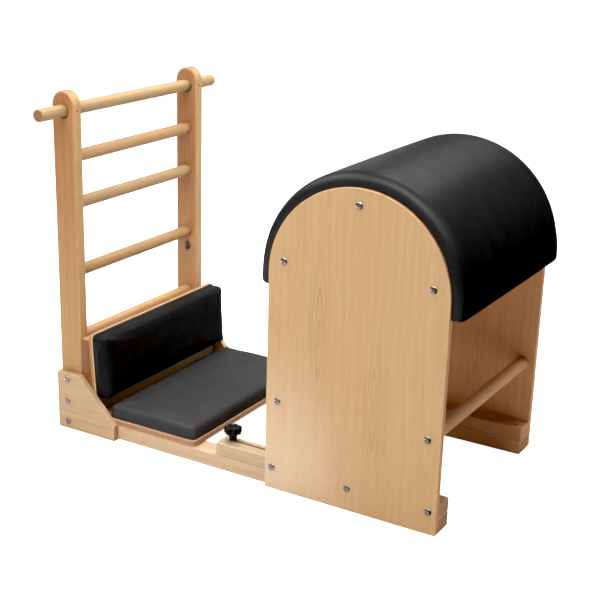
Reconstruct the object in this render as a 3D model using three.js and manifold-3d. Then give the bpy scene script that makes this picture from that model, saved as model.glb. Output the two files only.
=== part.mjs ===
// Ladder barrel: a wooden ladder back on two floor rails with a padded seat,
// and an arched padded barrel that slides along the rails and is clamped by two
// star knobs. Millimetres, +Z up, +X from the ladder towards the barrel, -Y is
// the near side. The drawing frame puts X = 0 under the barrel's centre; the
// whole group is then shifted so that the origin is the middle of the footprint.
import * as THREE from "three";
import { mergeVertices } from "three/addons/utils/BufferGeometryUtils.js";
import Module from "manifold-3d";

const wasm = await Module();
wasm.setup();

// ------------------------------------------------------------ dimensions
const GAP = 0.3; // paper-thin gap between pieces that touch

// floor rails
const RAIL_OUT = 310; // outer face, distance from the middle plane
const RAIL_W = 60;
const RAIL_H = 43;
const RAIL_X0 = -970;
const RAIL_X1 = 250;

// ladder uprights
const UP_W = 76; // along X
const UP_T = 35; // along Y
const UP_X = -932; // centre line
const UP_ARC_Z = 957; // centre of the rounded top
const UP_FRONT = UP_X + UP_W / 2; // face towards the seat

// rungs
const RUNG_R = 17.4;
const TOP_HOLE_R = 18.6;
const RUNG_Z = [941, 807, 673, 473, 273]; // from the top
const TOP_RUNG_HALF = 411.5;
const RUNG_SOCKET = 22;
const RUNG_SIDES = 16;

// corner gussets
const GUSSET_T = 19.7;
const GUSSET_OUT = RAIL_OUT + GAP + GUSSET_T;
const GUSSET_BOLT_Z = [156, 89, 24];

// seat
const SEAT_X0 = UP_FRONT + 0.4;
const SEAT_X1 = -493.4;
const SEAT_HALF = 309.7;
const SEAT_BOARD_T = 18;
const SEAT_TOP = RAIL_H + GAP + SEAT_BOARD_T;
const SEAT_PAD_X0 = -801;
const PAD_SIDE = 309.2;
const SEAT_PAD_T = 41;

// back rest
const BACK_LEAN = (3.27 * Math.PI) / 180;
const BACK_FOOT_X = -838.5; // front face of the board where it meets the seat
const BACK_BOARD_T = 12;
const BACK_BOARD_H = 242;
const BACK_PAD_T = 50;
const BACK_PAD_Z0 = 46;
const BACK_PAD_Z1 = 240;
const CLEAT_TOP = 285;

// barrel side panels
const PANEL_T = 18;
const PANEL_IN = RAIL_OUT + 1;
const PANEL_OUT = PANEL_IN + PANEL_T;
const PANEL_HALF = 250;
const PANEL_FOOT = 2;
const ARCH_Z = 606;

// slider blocks and their slots
const BLOCK_OUT = PANEL_IN - GAP;
const BLOCK_W = 60;
const BLOCK_Z0 = RAIL_H + GAP;
const BLOCK_Z1 = 80;
const BLOCK_X0 = -421;
const BLOCK_X1 = 250;
const SLOT_W = 10;
const SLOT_X0 = -392.4;
const SLOT_X1 = 230;
const SLOT_Y = 273;

// cross pieces between the panels
const CROSS_HALF = PANEL_IN - GAP;
const STRETCHER_R = 18.5;
const STRETCHER_X = 214.6;
const STRETCHER_Z = 258;
const FORMER_R0 = 169;
const FORMER_R1 = 249;
const FORMER_W = 36;
const FORMER_BOLT_R = 208;
const FORMER_ANGLES = { top: 90, left: 170.3, right: 9.7 };

// bent shell and barrel pad
const SHELL_R0 = 250.8;
const SHELL_R1 = 256.6;
const SHELL_HALF = 318;
const SHELL_FOOT = 573;
const PAD_R0 = 257;
const PAD_R1 = 287;
const PAD_HALF = 322;
const PAD_FOOT = 570.5;
const PAD_ROLL_Y = 46;

// fasteners
const BOLT_R = 4;
const BOLT_HOLE_R = 4.45;
const HEAD_R = 10.2;
const HEAD_H = 5.2;

// clamp
const CLAMP_X = -388;
const STUD_R = 4;
const STUD_Z0 = 15;
const STUD_Z1 = 108;
const WASHER_R = 12.5;
const WASHER_T = 1.8;
const KNOB_R = 25;
const KNOB_LOBES = 7;
const KNOB_LOBE = 3.1; // half the depth of a hollow between lobes

// middle of the footprint in the drawing frame
const ORIGIN_X = (RAIL_X0 + PAD_R1) / 2;

// ------------------------------------------------------------ materials
const mat = (color, roughness, metalness = 0) =>
  new THREE.MeshStandardMaterial({ color, roughness, metalness });
const beech = () => mat(0xd6a671, 0.45);
const laminate = () => mat(0xd9b588, 0.4);
const plywood = () => mat(0xc9976a, 0.5);
const vinyl = () => mat(0x1b1b1d, 0.45);
const steel = () => mat(0xc4c6c8, 0.25, 1);
const plastic = () => mat(0x141414, 0.5);

// ------------------------------------------------------------ helpers
// A closed three.js geometry as a solid.
function solid(geometry) {
  const g = geometry.clone();
  for (const name of Object.keys(g.attributes))
    if (name !== "position") g.deleteAttribute(name);
  const m = mergeVertices(g, 1e-4);
  return new wasm.Manifold(
    new wasm.Mesh({
      numProp: 3,
      vertProperties: new Float32Array(m.attributes.position.array),
      triVerts: new Uint32Array(m.index.array),
    }),
  );
}

// A solid as a three.js geometry.
function geometryOf(s) {
  const m = s.getMesh();
  const n = m.numProp;
  const pos = new Float32Array((m.vertProperties.length / n) * 3);
  for (let i = 0, j = 0; i < m.vertProperties.length; i += n, j += 3) {
    pos[j] = m.vertProperties[i];
    pos[j + 1] = m.vertProperties[i + 1];
    pos[j + 2] = m.vertProperties[i + 2];
  }
  const g = new THREE.BufferGeometry();
  g.setAttribute("position", new THREE.BufferAttribute(pos, 3));
  g.setIndex(new THREE.BufferAttribute(new Uint32Array(m.triVerts), 1));
  const flat = g.toNonIndexed();
  flat.computeVertexNormals();
  return flat;
}

const cut = (body, ...tools) =>
  tools.reduce((a, t) => a.subtract(solid(t)), solid(body));

// Plate with its outline in X and Z, from y0 to y1, edges eased by `ease`.
function plateXZ(shape, y0, y1, ease = 0, segments = 2, curve = 12) {
  const g = new THREE.ExtrudeGeometry(shape, {
    depth: y1 - y0 - 2 * ease,
    bevelEnabled: ease > 0,
    bevelThickness: ease,
    bevelSize: ease,
    bevelOffset: -ease,
    bevelSegments: segments,
    curveSegments: curve,
  });
  g.translate(0, 0, ease);
  g.rotateX(Math.PI / 2); // outline y becomes Z, depth runs to -Y
  g.translate(0, y1, 0);
  return g;
}

// Bar with its outline in Y and Z, from x0 to x1.
function barX(shape, x0, x1, ease = 0, segments = 2, curve = 3) {
  const g = new THREE.ExtrudeGeometry(shape, {
    depth: x1 - x0 - 2 * ease,
    bevelEnabled: ease > 0,
    bevelThickness: ease,
    bevelSize: ease,
    bevelOffset: -ease,
    bevelSegments: segments,
    curveSegments: curve,
  });
  g.translate(0, 0, x0 + ease);
  g.applyMatrix4(
    new THREE.Matrix4().makeBasis(
      new THREE.Vector3(0, 1, 0),
      new THREE.Vector3(0, 0, 1),
      new THREE.Vector3(1, 0, 0),
    ),
  );
  return g;
}

// Slab with its outline in X and Y, from z0 to z1.
function slabXY(shape, z0, z1, ease = 0, segments = 2, curve = 6) {
  const g = new THREE.ExtrudeGeometry(shape, {
    depth: z1 - z0 - 2 * ease,
    bevelEnabled: ease > 0,
    bevelThickness: ease,
    bevelSize: ease,
    bevelOffset: -ease,
    bevelSegments: segments,
    curveSegments: curve,
  });
  g.translate(0, 0, z0 + ease);
  return g;
}

// Rectangle with a corner radius for each corner, in the order
// low-low, high-low, high-high, low-high.
function roundedRect(x0, y0, x1, y1, r) {
  const [a, b, c, d] = Array.isArray(r) ? r : [r, r, r, r];
  const s = new THREE.Shape();
  s.moveTo(x0 + a, y0);
  s.lineTo(x1 - b, y0);
  s.absarc(x1 - b, y0 + b, b, -Math.PI / 2, 0, false);
  s.lineTo(x1, y1 - c);
  s.absarc(x1 - c, y1 - c, c, 0, Math.PI / 2, false);
  s.lineTo(x0 + d, y1);
  s.absarc(x0 + d, y1 - d, d, Math.PI / 2, Math.PI, false);
  s.lineTo(x0, y0 + a);
  s.absarc(x0 + a, y0 + a, a, Math.PI, 1.5 * Math.PI, false);
  return s;
}

const rod = (r, h, n) => new THREE.CylinderGeometry(r, r, h, n);
const rodY = (r, y0, y1, x, z, n = 12) =>
  rod(r, y1 - y0, n).translate(x, (y0 + y1) / 2, z);
const rodZ = (r, z0, z1, x, y, n = 16) =>
  rod(r, z1 - z0, n)
    .rotateX(Math.PI / 2)
    .translate(x, y, (z0 + z1) / 2);
const rodX = (r, x0, x1, y, z, n = 12) =>
  rod(r, x1 - x0, n)
    .rotateZ(Math.PI / 2)
    .translate((x0 + x1) / 2, y, z);

// Round bar along Y with eased ends.
function dowel(r, half, n, ease) {
  const p = [
    [0, -half],
    [r - ease, -half],
    [r - 0.3 * ease, -half + 0.3 * ease],
    [r, -half + ease],
    [r, half - ease],
    [r - 0.3 * ease, half - 0.3 * ease],
    [r - ease, half],
    [0, half],
  ].map(([x, y]) => new THREE.Vector2(x, y));
  return new THREE.LatheGeometry(p, n);
}

const ladderBarrel = new THREE.Group();
ladderBarrel.position.x = -ORIGIN_X;

function put(group, name, geometry, material) {
  const m = new THREE.Mesh(geometry, material);
  m.name = name;
  group.add(m);
  return m;
}

// Each side: s = -1 is the near side, s = +1 the far side.
const SIDES = [
  ["near", -1],
  ["far", 1],
];
const span = (s, a, b) => (s < 0 ? [-b, -a] : [a, b]);

// ------------------------------------------------------------ fasteners
// Dome-head bolt with a hex socket. Local axis: the shank runs along +Y from
// the underside of the head at y = 0; the head stands on -Y.
function boltGeometry(length) {
  const head = [
    [0, -HEAD_H],
    [6.4, -HEAD_H * 0.86],
    [HEAD_R, -HEAD_H * 0.2],
    [HEAD_R, 0],
    [BOLT_R, 0],
    [BOLT_R, length],
    [0, length],
  ].map(([x, y]) => new THREE.Vector2(x, y));
  const hex = new THREE.CylinderGeometry(2.9, 2.9, 3.2, 6).translate(
    0,
    -HEAD_H + 1.4,
    0,
  );
  return geometryOf(cut(new THREE.LatheGeometry(head, 10), hex));
}
const LONG_BOLT = 50;
const BLOCK_BOLT = 44;
const longBolt = boltGeometry(LONG_BOLT);
const blockBolt = boltGeometry(BLOCK_BOLT);

// Places a bolt with its head's underside against the outer face |y| = face.
function bolt(group, name, geometry, s, face, x, z) {
  const m = put(group, name, geometry.clone(), steel());
  m.position.set(x, s * (face + GAP), z);
  if (s > 0) m.rotation.z = Math.PI;
}

// ------------------------------------------------------------ ladder frame
const frame = new THREE.Group();
ladderBarrel.add(frame);

for (const [side, s] of SIDES) {
  // floor rail, with the holes of the clamp stud and the lowest gusset bolt
  const [ry0, ry1] = span(s, RAIL_OUT - RAIL_W, RAIL_OUT);
  const rail = cut(
    barX(roundedRect(ry0, 0, ry1, RAIL_H, 3), RAIL_X0, RAIL_X1, 1.5, 1, 1),
    rodZ(4.45, STUD_Z0 - 1, RAIL_H + 5, CLAMP_X, s * SLOT_Y),
    rodY(
      BOLT_HOLE_R,
      ...span(s, RAIL_OUT - 32, RAIL_OUT + 5),
      UP_X,
      GUSSET_BOLT_Z[2],
    ),
  );
  put(frame, `base_rail_${side}`, geometryOf(rail), beech());

  // upright with a rounded top; the top rung passes through it, the others sit
  // in blind sockets
  const [uy0, uy1] = span(s, RAIL_OUT - UP_T, RAIL_OUT);
  const outline = new THREE.Shape();
  const x0 = UP_X - UP_W / 2;
  const x1 = UP_X + UP_W / 2;
  outline.moveTo(x0, RAIL_H + GAP);
  outline.lineTo(x1, RAIL_H + GAP);
  outline.lineTo(x1, UP_ARC_Z);
  outline.absarc(UP_X, UP_ARC_Z, UP_W / 2, 0, Math.PI, false);
  outline.lineTo(x0, RAIL_H + GAP);
  const upright = cut(
    plateXZ(outline, uy0, uy1, 2, 1, 8),
    rodY(TOP_HOLE_R, uy0 - 5, uy1 + 5, UP_X, RUNG_Z[0], RUNG_SIDES),
    ...RUNG_Z.slice(1).map((z) =>
      rodY(
        RUNG_R + 0.35,
        ...span(s, RAIL_OUT - UP_T - 5, RAIL_OUT - UP_T + RUNG_SOCKET + 0.5),
        UP_X,
        z,
        RUNG_SIDES,
      ),
    ),
    ...GUSSET_BOLT_Z.slice(0, 2).map((z) =>
      rodY(
        BOLT_HOLE_R,
        ...span(s, RAIL_OUT - 32, RAIL_OUT + 5),
        UP_X,
        z,
      ),
    ),
    rodX(2.3, UP_X, UP_FRONT + 5, s * (RAIL_OUT - UP_T / 2), RUNG_Z[0]),
  );
  put(frame, `ladder_upright_${side}`, geometryOf(upright), beech());

  // pin that locks the top rung
  const pin = rodX(2, -12, 12, 0, 0, 10);
  put(frame, `top_rung_pin_${side}`, pin, plastic()).position.set(
    UP_FRONT - 0.6 - 12,
    s * (RAIL_OUT - UP_T / 2),
    RUNG_Z[0],
  );

  // gusset plate over the upright's foot and the rail's end
  const [gy0, gy1] = span(s, RAIL_OUT + GAP, GUSSET_OUT);
  const g = new THREE.Shape();
  g.moveTo(RAIL_X0, 0);
  g.lineTo(-762, 0);
  g.lineTo(-762, 45);
  g.lineTo(-887, 175);
  g.lineTo(RAIL_X0, 175);
  g.lineTo(RAIL_X0, 0);
  const gusset = cut(
    plateXZ(g, gy0, gy1, 1.5, 1),
    ...GUSSET_BOLT_Z.map((z) =>
      rodY(BOLT_HOLE_R, gy0 - 5, gy1 + 5, UP_X, z),
    ),
  );
  put(frame, `gusset_${side}`, geometryOf(gusset), laminate());
  ["upper", "middle", "lower"].forEach((n, i) =>
    bolt(
      frame,
      `gusset_bolt_${side}_${n}`,
      longBolt,
      s,
      GUSSET_OUT,
      UP_X,
      GUSSET_BOLT_Z[i],
    ),
  );

  // wedge cleat between the upright and the leaning back board
  const back = (z) =>
    BACK_FOOT_X -
    Math.tan(BACK_LEAN) * (z - SEAT_TOP) -
    BACK_BOARD_T / Math.cos(BACK_LEAN) -
    0.4;
  const w = new THREE.Shape();
  w.moveTo(UP_FRONT + GAP, SEAT_TOP + GAP);
  w.lineTo(back(SEAT_TOP), SEAT_TOP + GAP);
  w.lineTo(back(CLEAT_TOP), CLEAT_TOP);
  w.lineTo(UP_FRONT + GAP, CLEAT_TOP);
  w.lineTo(UP_FRONT + GAP, SEAT_TOP + GAP);
  put(
    frame,
    `back_cleat_${side}`,
    plateXZ(w, ...span(s, RAIL_OUT - UP_T, SEAT_HALF), 1, 1),
    plywood(),
  );
}

// rungs: the top one carries the pins' sockets
const topRung = cut(
  dowel(RUNG_R, TOP_RUNG_HALF, RUNG_SIDES, 3),
  ...SIDES.map(([, s]) =>
    rodX(2.3, 7, RUNG_R + 5, s * (RAIL_OUT - UP_T / 2), 0),
  ),
);
put(frame, "rung_1_top", geometryOf(topRung), beech()).position.set(
  UP_X,
  0,
  RUNG_Z[0],
);
for (let i = 1; i < RUNG_Z.length; i++)
  put(
    frame,
    `rung_${i + 1}`,
    dowel(RUNG_R, RAIL_OUT - UP_T + RUNG_SOCKET, RUNG_SIDES, 1.5),
    beech(),
  ).position.set(UP_X, 0, RUNG_Z[i]);

// seat board and pad
put(
  frame,
  "seat_board",
  slabXY(
    roundedRect(SEAT_X0, -SEAT_HALF, SEAT_X1, SEAT_HALF, [4, 17, 17, 4]),
    RAIL_H + GAP,
    SEAT_TOP,
    2.5,
    1,
    2,
  ),
  plywood(),
);
put(
  frame,
  "seat_pad",
  slabXY(
    roundedRect(
      SEAT_PAD_X0,
      -PAD_SIDE,
      SEAT_X1 - 0.6,
      PAD_SIDE,
      [16, 19, 19, 16],
    ),
    SEAT_TOP + GAP,
    SEAT_TOP + GAP + SEAT_PAD_T,
    9,
    2,
    2,
  ),
  vinyl(),
);

// back board and pad share one leaning frame, its origin at the board's foot
const backRest = new THREE.Group();
backRest.position.set(BACK_FOOT_X, 0, SEAT_TOP + 1);
backRest.rotation.y = -BACK_LEAN;
frame.add(backRest);
put(
  backRest,
  "back_board",
  barX(
    roundedRect(-SEAT_HALF, 0, SEAT_HALF, BACK_BOARD_H, [2.5, 2.5, 12, 12]),
    -BACK_BOARD_T,
    0,
    2,
    1,
    2,
  ),
  plywood(),
);
put(
  backRest,
  "back_pad",
  barX(
    roundedRect(-PAD_SIDE, BACK_PAD_Z0, PAD_SIDE, BACK_PAD_Z1, 18),
    GAP,
    BACK_PAD_T,
    10,
    2,
    2,
  ),
  vinyl(),
);

// ------------------------------------------------------------ barrel
const barrel = new THREE.Group();
ladderBarrel.add(barrel);

// Arch outline: legs down to `foot`, half circle of radius r above ARCH_Z.
function archHole(s, r0, r1, foot) {
  s.moveTo(-r1, foot);
  s.lineTo(-r0, foot);
  s.lineTo(-r0, ARCH_Z);
  s.absarc(0, ARCH_Z, r0, Math.PI, 0, true);
  s.lineTo(r0, foot);
  s.lineTo(r1, foot);
  s.lineTo(r1, ARCH_Z);
  s.absarc(0, ARCH_Z, r1, 0, Math.PI, false);
  s.lineTo(-r1, foot);
  return s;
}

const polar = (r, deg) => {
  const a = (deg * Math.PI) / 180;
  return [r * Math.cos(a), ARCH_Z + r * Math.sin(a)];
};
const PANEL_BOLTS = [
  ["arch_top", ...polar(FORMER_BOLT_R, FORMER_ANGLES.top), LONG_BOLT],
  ["arch_left", ...polar(FORMER_BOLT_R, FORMER_ANGLES.left), LONG_BOLT],
  ["arch_right", ...polar(FORMER_BOLT_R, FORMER_ANGLES.right), LONG_BOLT],
  ["mid_left", -STRETCHER_X, STRETCHER_Z, LONG_BOLT],
  ["mid_right", STRETCHER_X, STRETCHER_Z, LONG_BOLT],
  ["foot_left", -228, 65, BLOCK_BOLT],
  ["foot_middle", 0, 65, BLOCK_BOLT],
  ["foot_right", 228, 65, BLOCK_BOLT],
];

for (const [side, s] of SIDES) {
  // side panel
  const [py0, py1] = span(s, PANEL_IN, PANEL_OUT);
  const p = new THREE.Shape();
  p.moveTo(-PANEL_HALF, PANEL_FOOT);
  p.lineTo(PANEL_HALF, PANEL_FOOT);
  p.lineTo(PANEL_HALF, ARCH_Z);
  p.absarc(0, ARCH_Z, PANEL_HALF, 0, Math.PI, false);
  p.lineTo(-PANEL_HALF, PANEL_FOOT);
  const panel = cut(
    plateXZ(p, py0, py1, 1.2, 1, 20),
    ...PANEL_BOLTS.map(([, x, z]) =>
      rodY(BOLT_HOLE_R, py0 - 5, py1 + 5, x, z),
    ),
  );
  put(barrel, `side_panel_${side}`, geometryOf(panel), laminate());

  // slider block with its long slot
  const [by0, by1] = span(s, BLOCK_OUT - BLOCK_W, BLOCK_OUT);
  const h = SLOT_W / 2;
  const slot = new THREE.Shape();
  slot.moveTo(SLOT_X0 + h, s * SLOT_Y - h);
  slot.lineTo(SLOT_X1 - h, s * SLOT_Y - h);
  slot.absarc(SLOT_X1 - h, s * SLOT_Y, h, -Math.PI / 2, Math.PI / 2, false);
  slot.lineTo(SLOT_X0 + h, s * SLOT_Y + h);
  slot.absarc(SLOT_X0 + h, s * SLOT_Y, h, Math.PI / 2, 1.5 * Math.PI, false);
  const block = cut(
    barX(
      roundedRect(by0, BLOCK_Z0, by1, BLOCK_Z1, 2.5),
      BLOCK_X0,
      BLOCK_X1,
      1.5,
      1,
      1,
    ),
    slabXY(slot, BLOCK_Z0 - 5, BLOCK_Z1 + 5, 0, 1, 4),
    ...PANEL_BOLTS.slice(5).map(([, x, z]) =>
      rodY(
        BOLT_HOLE_R,
        ...span(s, PANEL_OUT + GAP - BLOCK_BOLT - 0.6, BLOCK_OUT + 5),
        x,
        z,
      ),
    ),
  );
  put(barrel, `slider_block_${side}`, geometryOf(block), beech());

  for (const [n, x, z, length] of PANEL_BOLTS)
    bolt(
      barrel,
      `panel_bolt_${side}_${n}`,
      length === LONG_BOLT ? longBolt : blockBolt,
      s,
      PANEL_OUT,
      x,
      z,
    );
}

// Blind bolt holes at both ends of a cross piece.
const endHoles = (x, z) =>
  SIDES.map(([, s]) =>
    rodY(
      BOLT_HOLE_R,
      ...span(s, PANEL_OUT + GAP - LONG_BOLT - 1, CROSS_HALF + 5),
      x,
      z,
    ),
  );

// round stretchers
for (const [n, x] of [
  ["left", -STRETCHER_X],
  ["right", STRETCHER_X],
])
  put(
    barrel,
    `stretcher_${n}`,
    geometryOf(
      cut(dowel(STRETCHER_R, CROSS_HALF, RUNG_SIDES, 1.5), ...endHoles(0, 0)),
    ),
    beech(),
  ).position.set(x, 0, STRETCHER_Z);

// square formers that carry the shell
for (const [n, deg] of Object.entries(FORMER_ANGLES)) {
  const f = cut(
    plateXZ(
      roundedRect(FORMER_R0, -FORMER_W / 2, FORMER_R1, FORMER_W / 2, 2),
      -CROSS_HALF,
      CROSS_HALF,
      0,
      1,
      1,
    ),
    ...endHoles(FORMER_BOLT_R, 0),
  );
  const m = put(barrel, `arch_former_${n}`, geometryOf(f), beech());
  m.position.z = ARCH_Z;
  m.rotation.y = (-deg * Math.PI) / 180;
}

// bent plywood shell over the arches
put(
  barrel,
  "barrel_shell",
  plateXZ(
    archHole(new THREE.Shape(), SHELL_R0, SHELL_R1, SHELL_FOOT),
    -SHELL_HALF,
    SHELL_HALF,
    0,
    1,
    14,
  ),
  plywood(),
);

// barrel pad: its section, rolled over at both edges, swept up one leg, over
// the arch and down the other leg
{
  const section = [];
  const rise = PAD_R1 - 253;
  section.push([-PAD_HALF, SHELL_R0]);
  for (let i = 0; i <= 4; i++) {
    const a = (i / 4) * (Math.PI / 2);
    section.push([
      -PAD_HALF + PAD_ROLL_Y * (1 - Math.cos(a)),
      253 + rise * Math.sin(a),
    ]);
  }
  for (let i = 4; i >= 0; i--) {
    const a = (i / 4) * (Math.PI / 2);
    section.push([
      PAD_HALF - PAD_ROLL_Y * (1 - Math.cos(a)),
      253 + rise * Math.sin(a),
    ]);
  }
  section.push([PAD_HALF, SHELL_R0]);
  section.push([SHELL_HALF + 0.4, SHELL_R0]);
  section.push([SHELL_HALF + 0.4, PAD_R0]);
  section.push([-SHELL_HALF - 0.4, PAD_R0]);
  section.push([-SHELL_HALF - 0.4, SHELL_R0]);
  // stations along the sweep: one at each leg's foot, then round the arch
  const STEPS = 28;
  const stations = [[(r) => [-r, PAD_FOOT]]];
  for (let i = 0; i <= STEPS; i++) {
    const a = Math.PI * (1 - i / STEPS);
    stations.push([
      (r) => [r * Math.cos(a), ARCH_Z + r * Math.sin(a)],
    ]);
  }
  stations.push([(r) => [r, PAD_FOOT]]);
  const n = section.length;
  const pos = [];
  for (const [at] of stations)
    for (const [y, r] of section) {
      const [x, z] = at(r);
      pos.push(x, y, z);
    }
  const idx = [];
  for (let i = 0; i + 1 < stations.length; i++)
    for (let j = 0; j < n; j++) {
      const a = i * n + j;
      const b = i * n + ((j + 1) % n);
      const c = a + n;
      const d = b + n;
      idx.push(a, c, b, b, c, d);
    }
  const faces = THREE.ShapeUtils.triangulateShape(
    section.map(([y, r]) => new THREE.Vector2(y, r)),
    [],
  );
  const last = (stations.length - 1) * n;
  for (const [a, b, c] of faces) {
    const [p, q, t] = [section[a], section[b], section[c]];
    const area =
      (q[0] - p[0]) * (t[1] - p[1]) - (t[0] - p[0]) * (q[1] - p[1]);
    const [u, v] = area > 0 ? [b, c] : [c, b];
    idx.push(a, v, u); // foot of the left leg
    idx.push(last + a, last + u, last + v); // foot of the right leg
  }
  const g = new THREE.BufferGeometry();
  g.setAttribute("position", new THREE.Float32BufferAttribute(pos, 3));
  g.setIndex(idx);
  put(barrel, "barrel_pad", geometryOf(solid(g)), vinyl());
}

// ------------------------------------------------------------ clamps
for (const [side, s] of SIDES) {
  const clamp = new THREE.Group();
  clamp.position.set(CLAMP_X, s * SLOT_Y, 0);
  ladderBarrel.add(clamp);

  put(
    clamp,
    `clamp_stud_${side}`,
    rodZ(STUD_R, STUD_Z0, STUD_Z1, 0, 0),
    steel(),
  );

  const seat = BLOCK_Z1 + GAP;
  put(
    clamp,
    `clamp_washer_${side}`,
    geometryOf(
      cut(
        rodZ(WASHER_R, seat, seat + WASHER_T, 0, 0, 18),
        rodZ(4.7, seat - 5, seat + 9, 0, 0),
      ),
    ),
    steel(),
  );

  // star knob: stem and lobed head, with a blind bore
  const z0 = seat + WASHER_T + GAP;
  const hub = [
    [0, z0],
    [11, z0],
    [11, z0 + 19],
    [13, z0 + 21],
    [13, z0 + 24],
    [0, z0 + 24],
  ].map(([r, z]) => new THREE.Vector2(r, z));
  const star = new THREE.Shape();
  const POINTS = KNOB_LOBES * 6;
  for (let i = 0; i < POINTS; i++) {
    const t = (i / POINTS) * 2 * Math.PI;
    const r = KNOB_R - KNOB_LOBE + KNOB_LOBE * Math.cos(KNOB_LOBES * t);
    if (i) star.lineTo(r * Math.cos(t), r * Math.sin(t));
    else star.moveTo(r, 0);
  }
  const stem = new THREE.LatheGeometry(hub, 16).rotateX(Math.PI / 2);
  const knob = solid(stem)
    .add(solid(slabXY(star, z0 + 20.5, z0 + 38, 2, 1)))
    .subtract(solid(rodZ(4.45, z0 - 5, STUD_Z1 + 2.5, 0, 0)));
  put(clamp, `clamp_knob_${side}`, geometryOf(knob), plastic());
}

export default ladderBarrel;
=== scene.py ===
import math
import random

import bmesh
import bpy
import numpy as np
from mathutils import Matrix, Vector


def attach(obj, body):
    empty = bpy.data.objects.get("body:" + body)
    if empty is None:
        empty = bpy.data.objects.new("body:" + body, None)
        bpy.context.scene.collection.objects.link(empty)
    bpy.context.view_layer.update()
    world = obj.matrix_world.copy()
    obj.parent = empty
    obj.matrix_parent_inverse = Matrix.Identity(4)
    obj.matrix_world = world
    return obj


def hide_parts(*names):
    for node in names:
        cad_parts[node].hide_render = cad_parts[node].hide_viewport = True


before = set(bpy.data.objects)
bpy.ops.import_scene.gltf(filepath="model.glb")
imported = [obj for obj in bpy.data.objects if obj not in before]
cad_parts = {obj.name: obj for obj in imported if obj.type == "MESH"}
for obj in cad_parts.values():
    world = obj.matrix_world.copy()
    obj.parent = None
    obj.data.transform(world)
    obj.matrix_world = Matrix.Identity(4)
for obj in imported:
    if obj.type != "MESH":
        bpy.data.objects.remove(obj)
scene = bpy.context.scene
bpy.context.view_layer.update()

# Shapes are drawn in millimetres in a frame whose X = 0 is under the barrel's
# centre; ORIGIN_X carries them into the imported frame.
ORIGIN_X = 341.5
SIDES = (("near", -1), ("far", 1))


# ------------------------------------------------------------------ node help
def lin(r, g, b):
    """An sRGB colour, 0 to 255, as a linear RGBA."""
    out = []
    for c in (r, g, b):
        c /= 255
        out.append(c / 12.92 if c <= 0.04045 else ((c + 0.055) / 1.055) ** 2.4)
    return (*out, 1.0)


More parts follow.
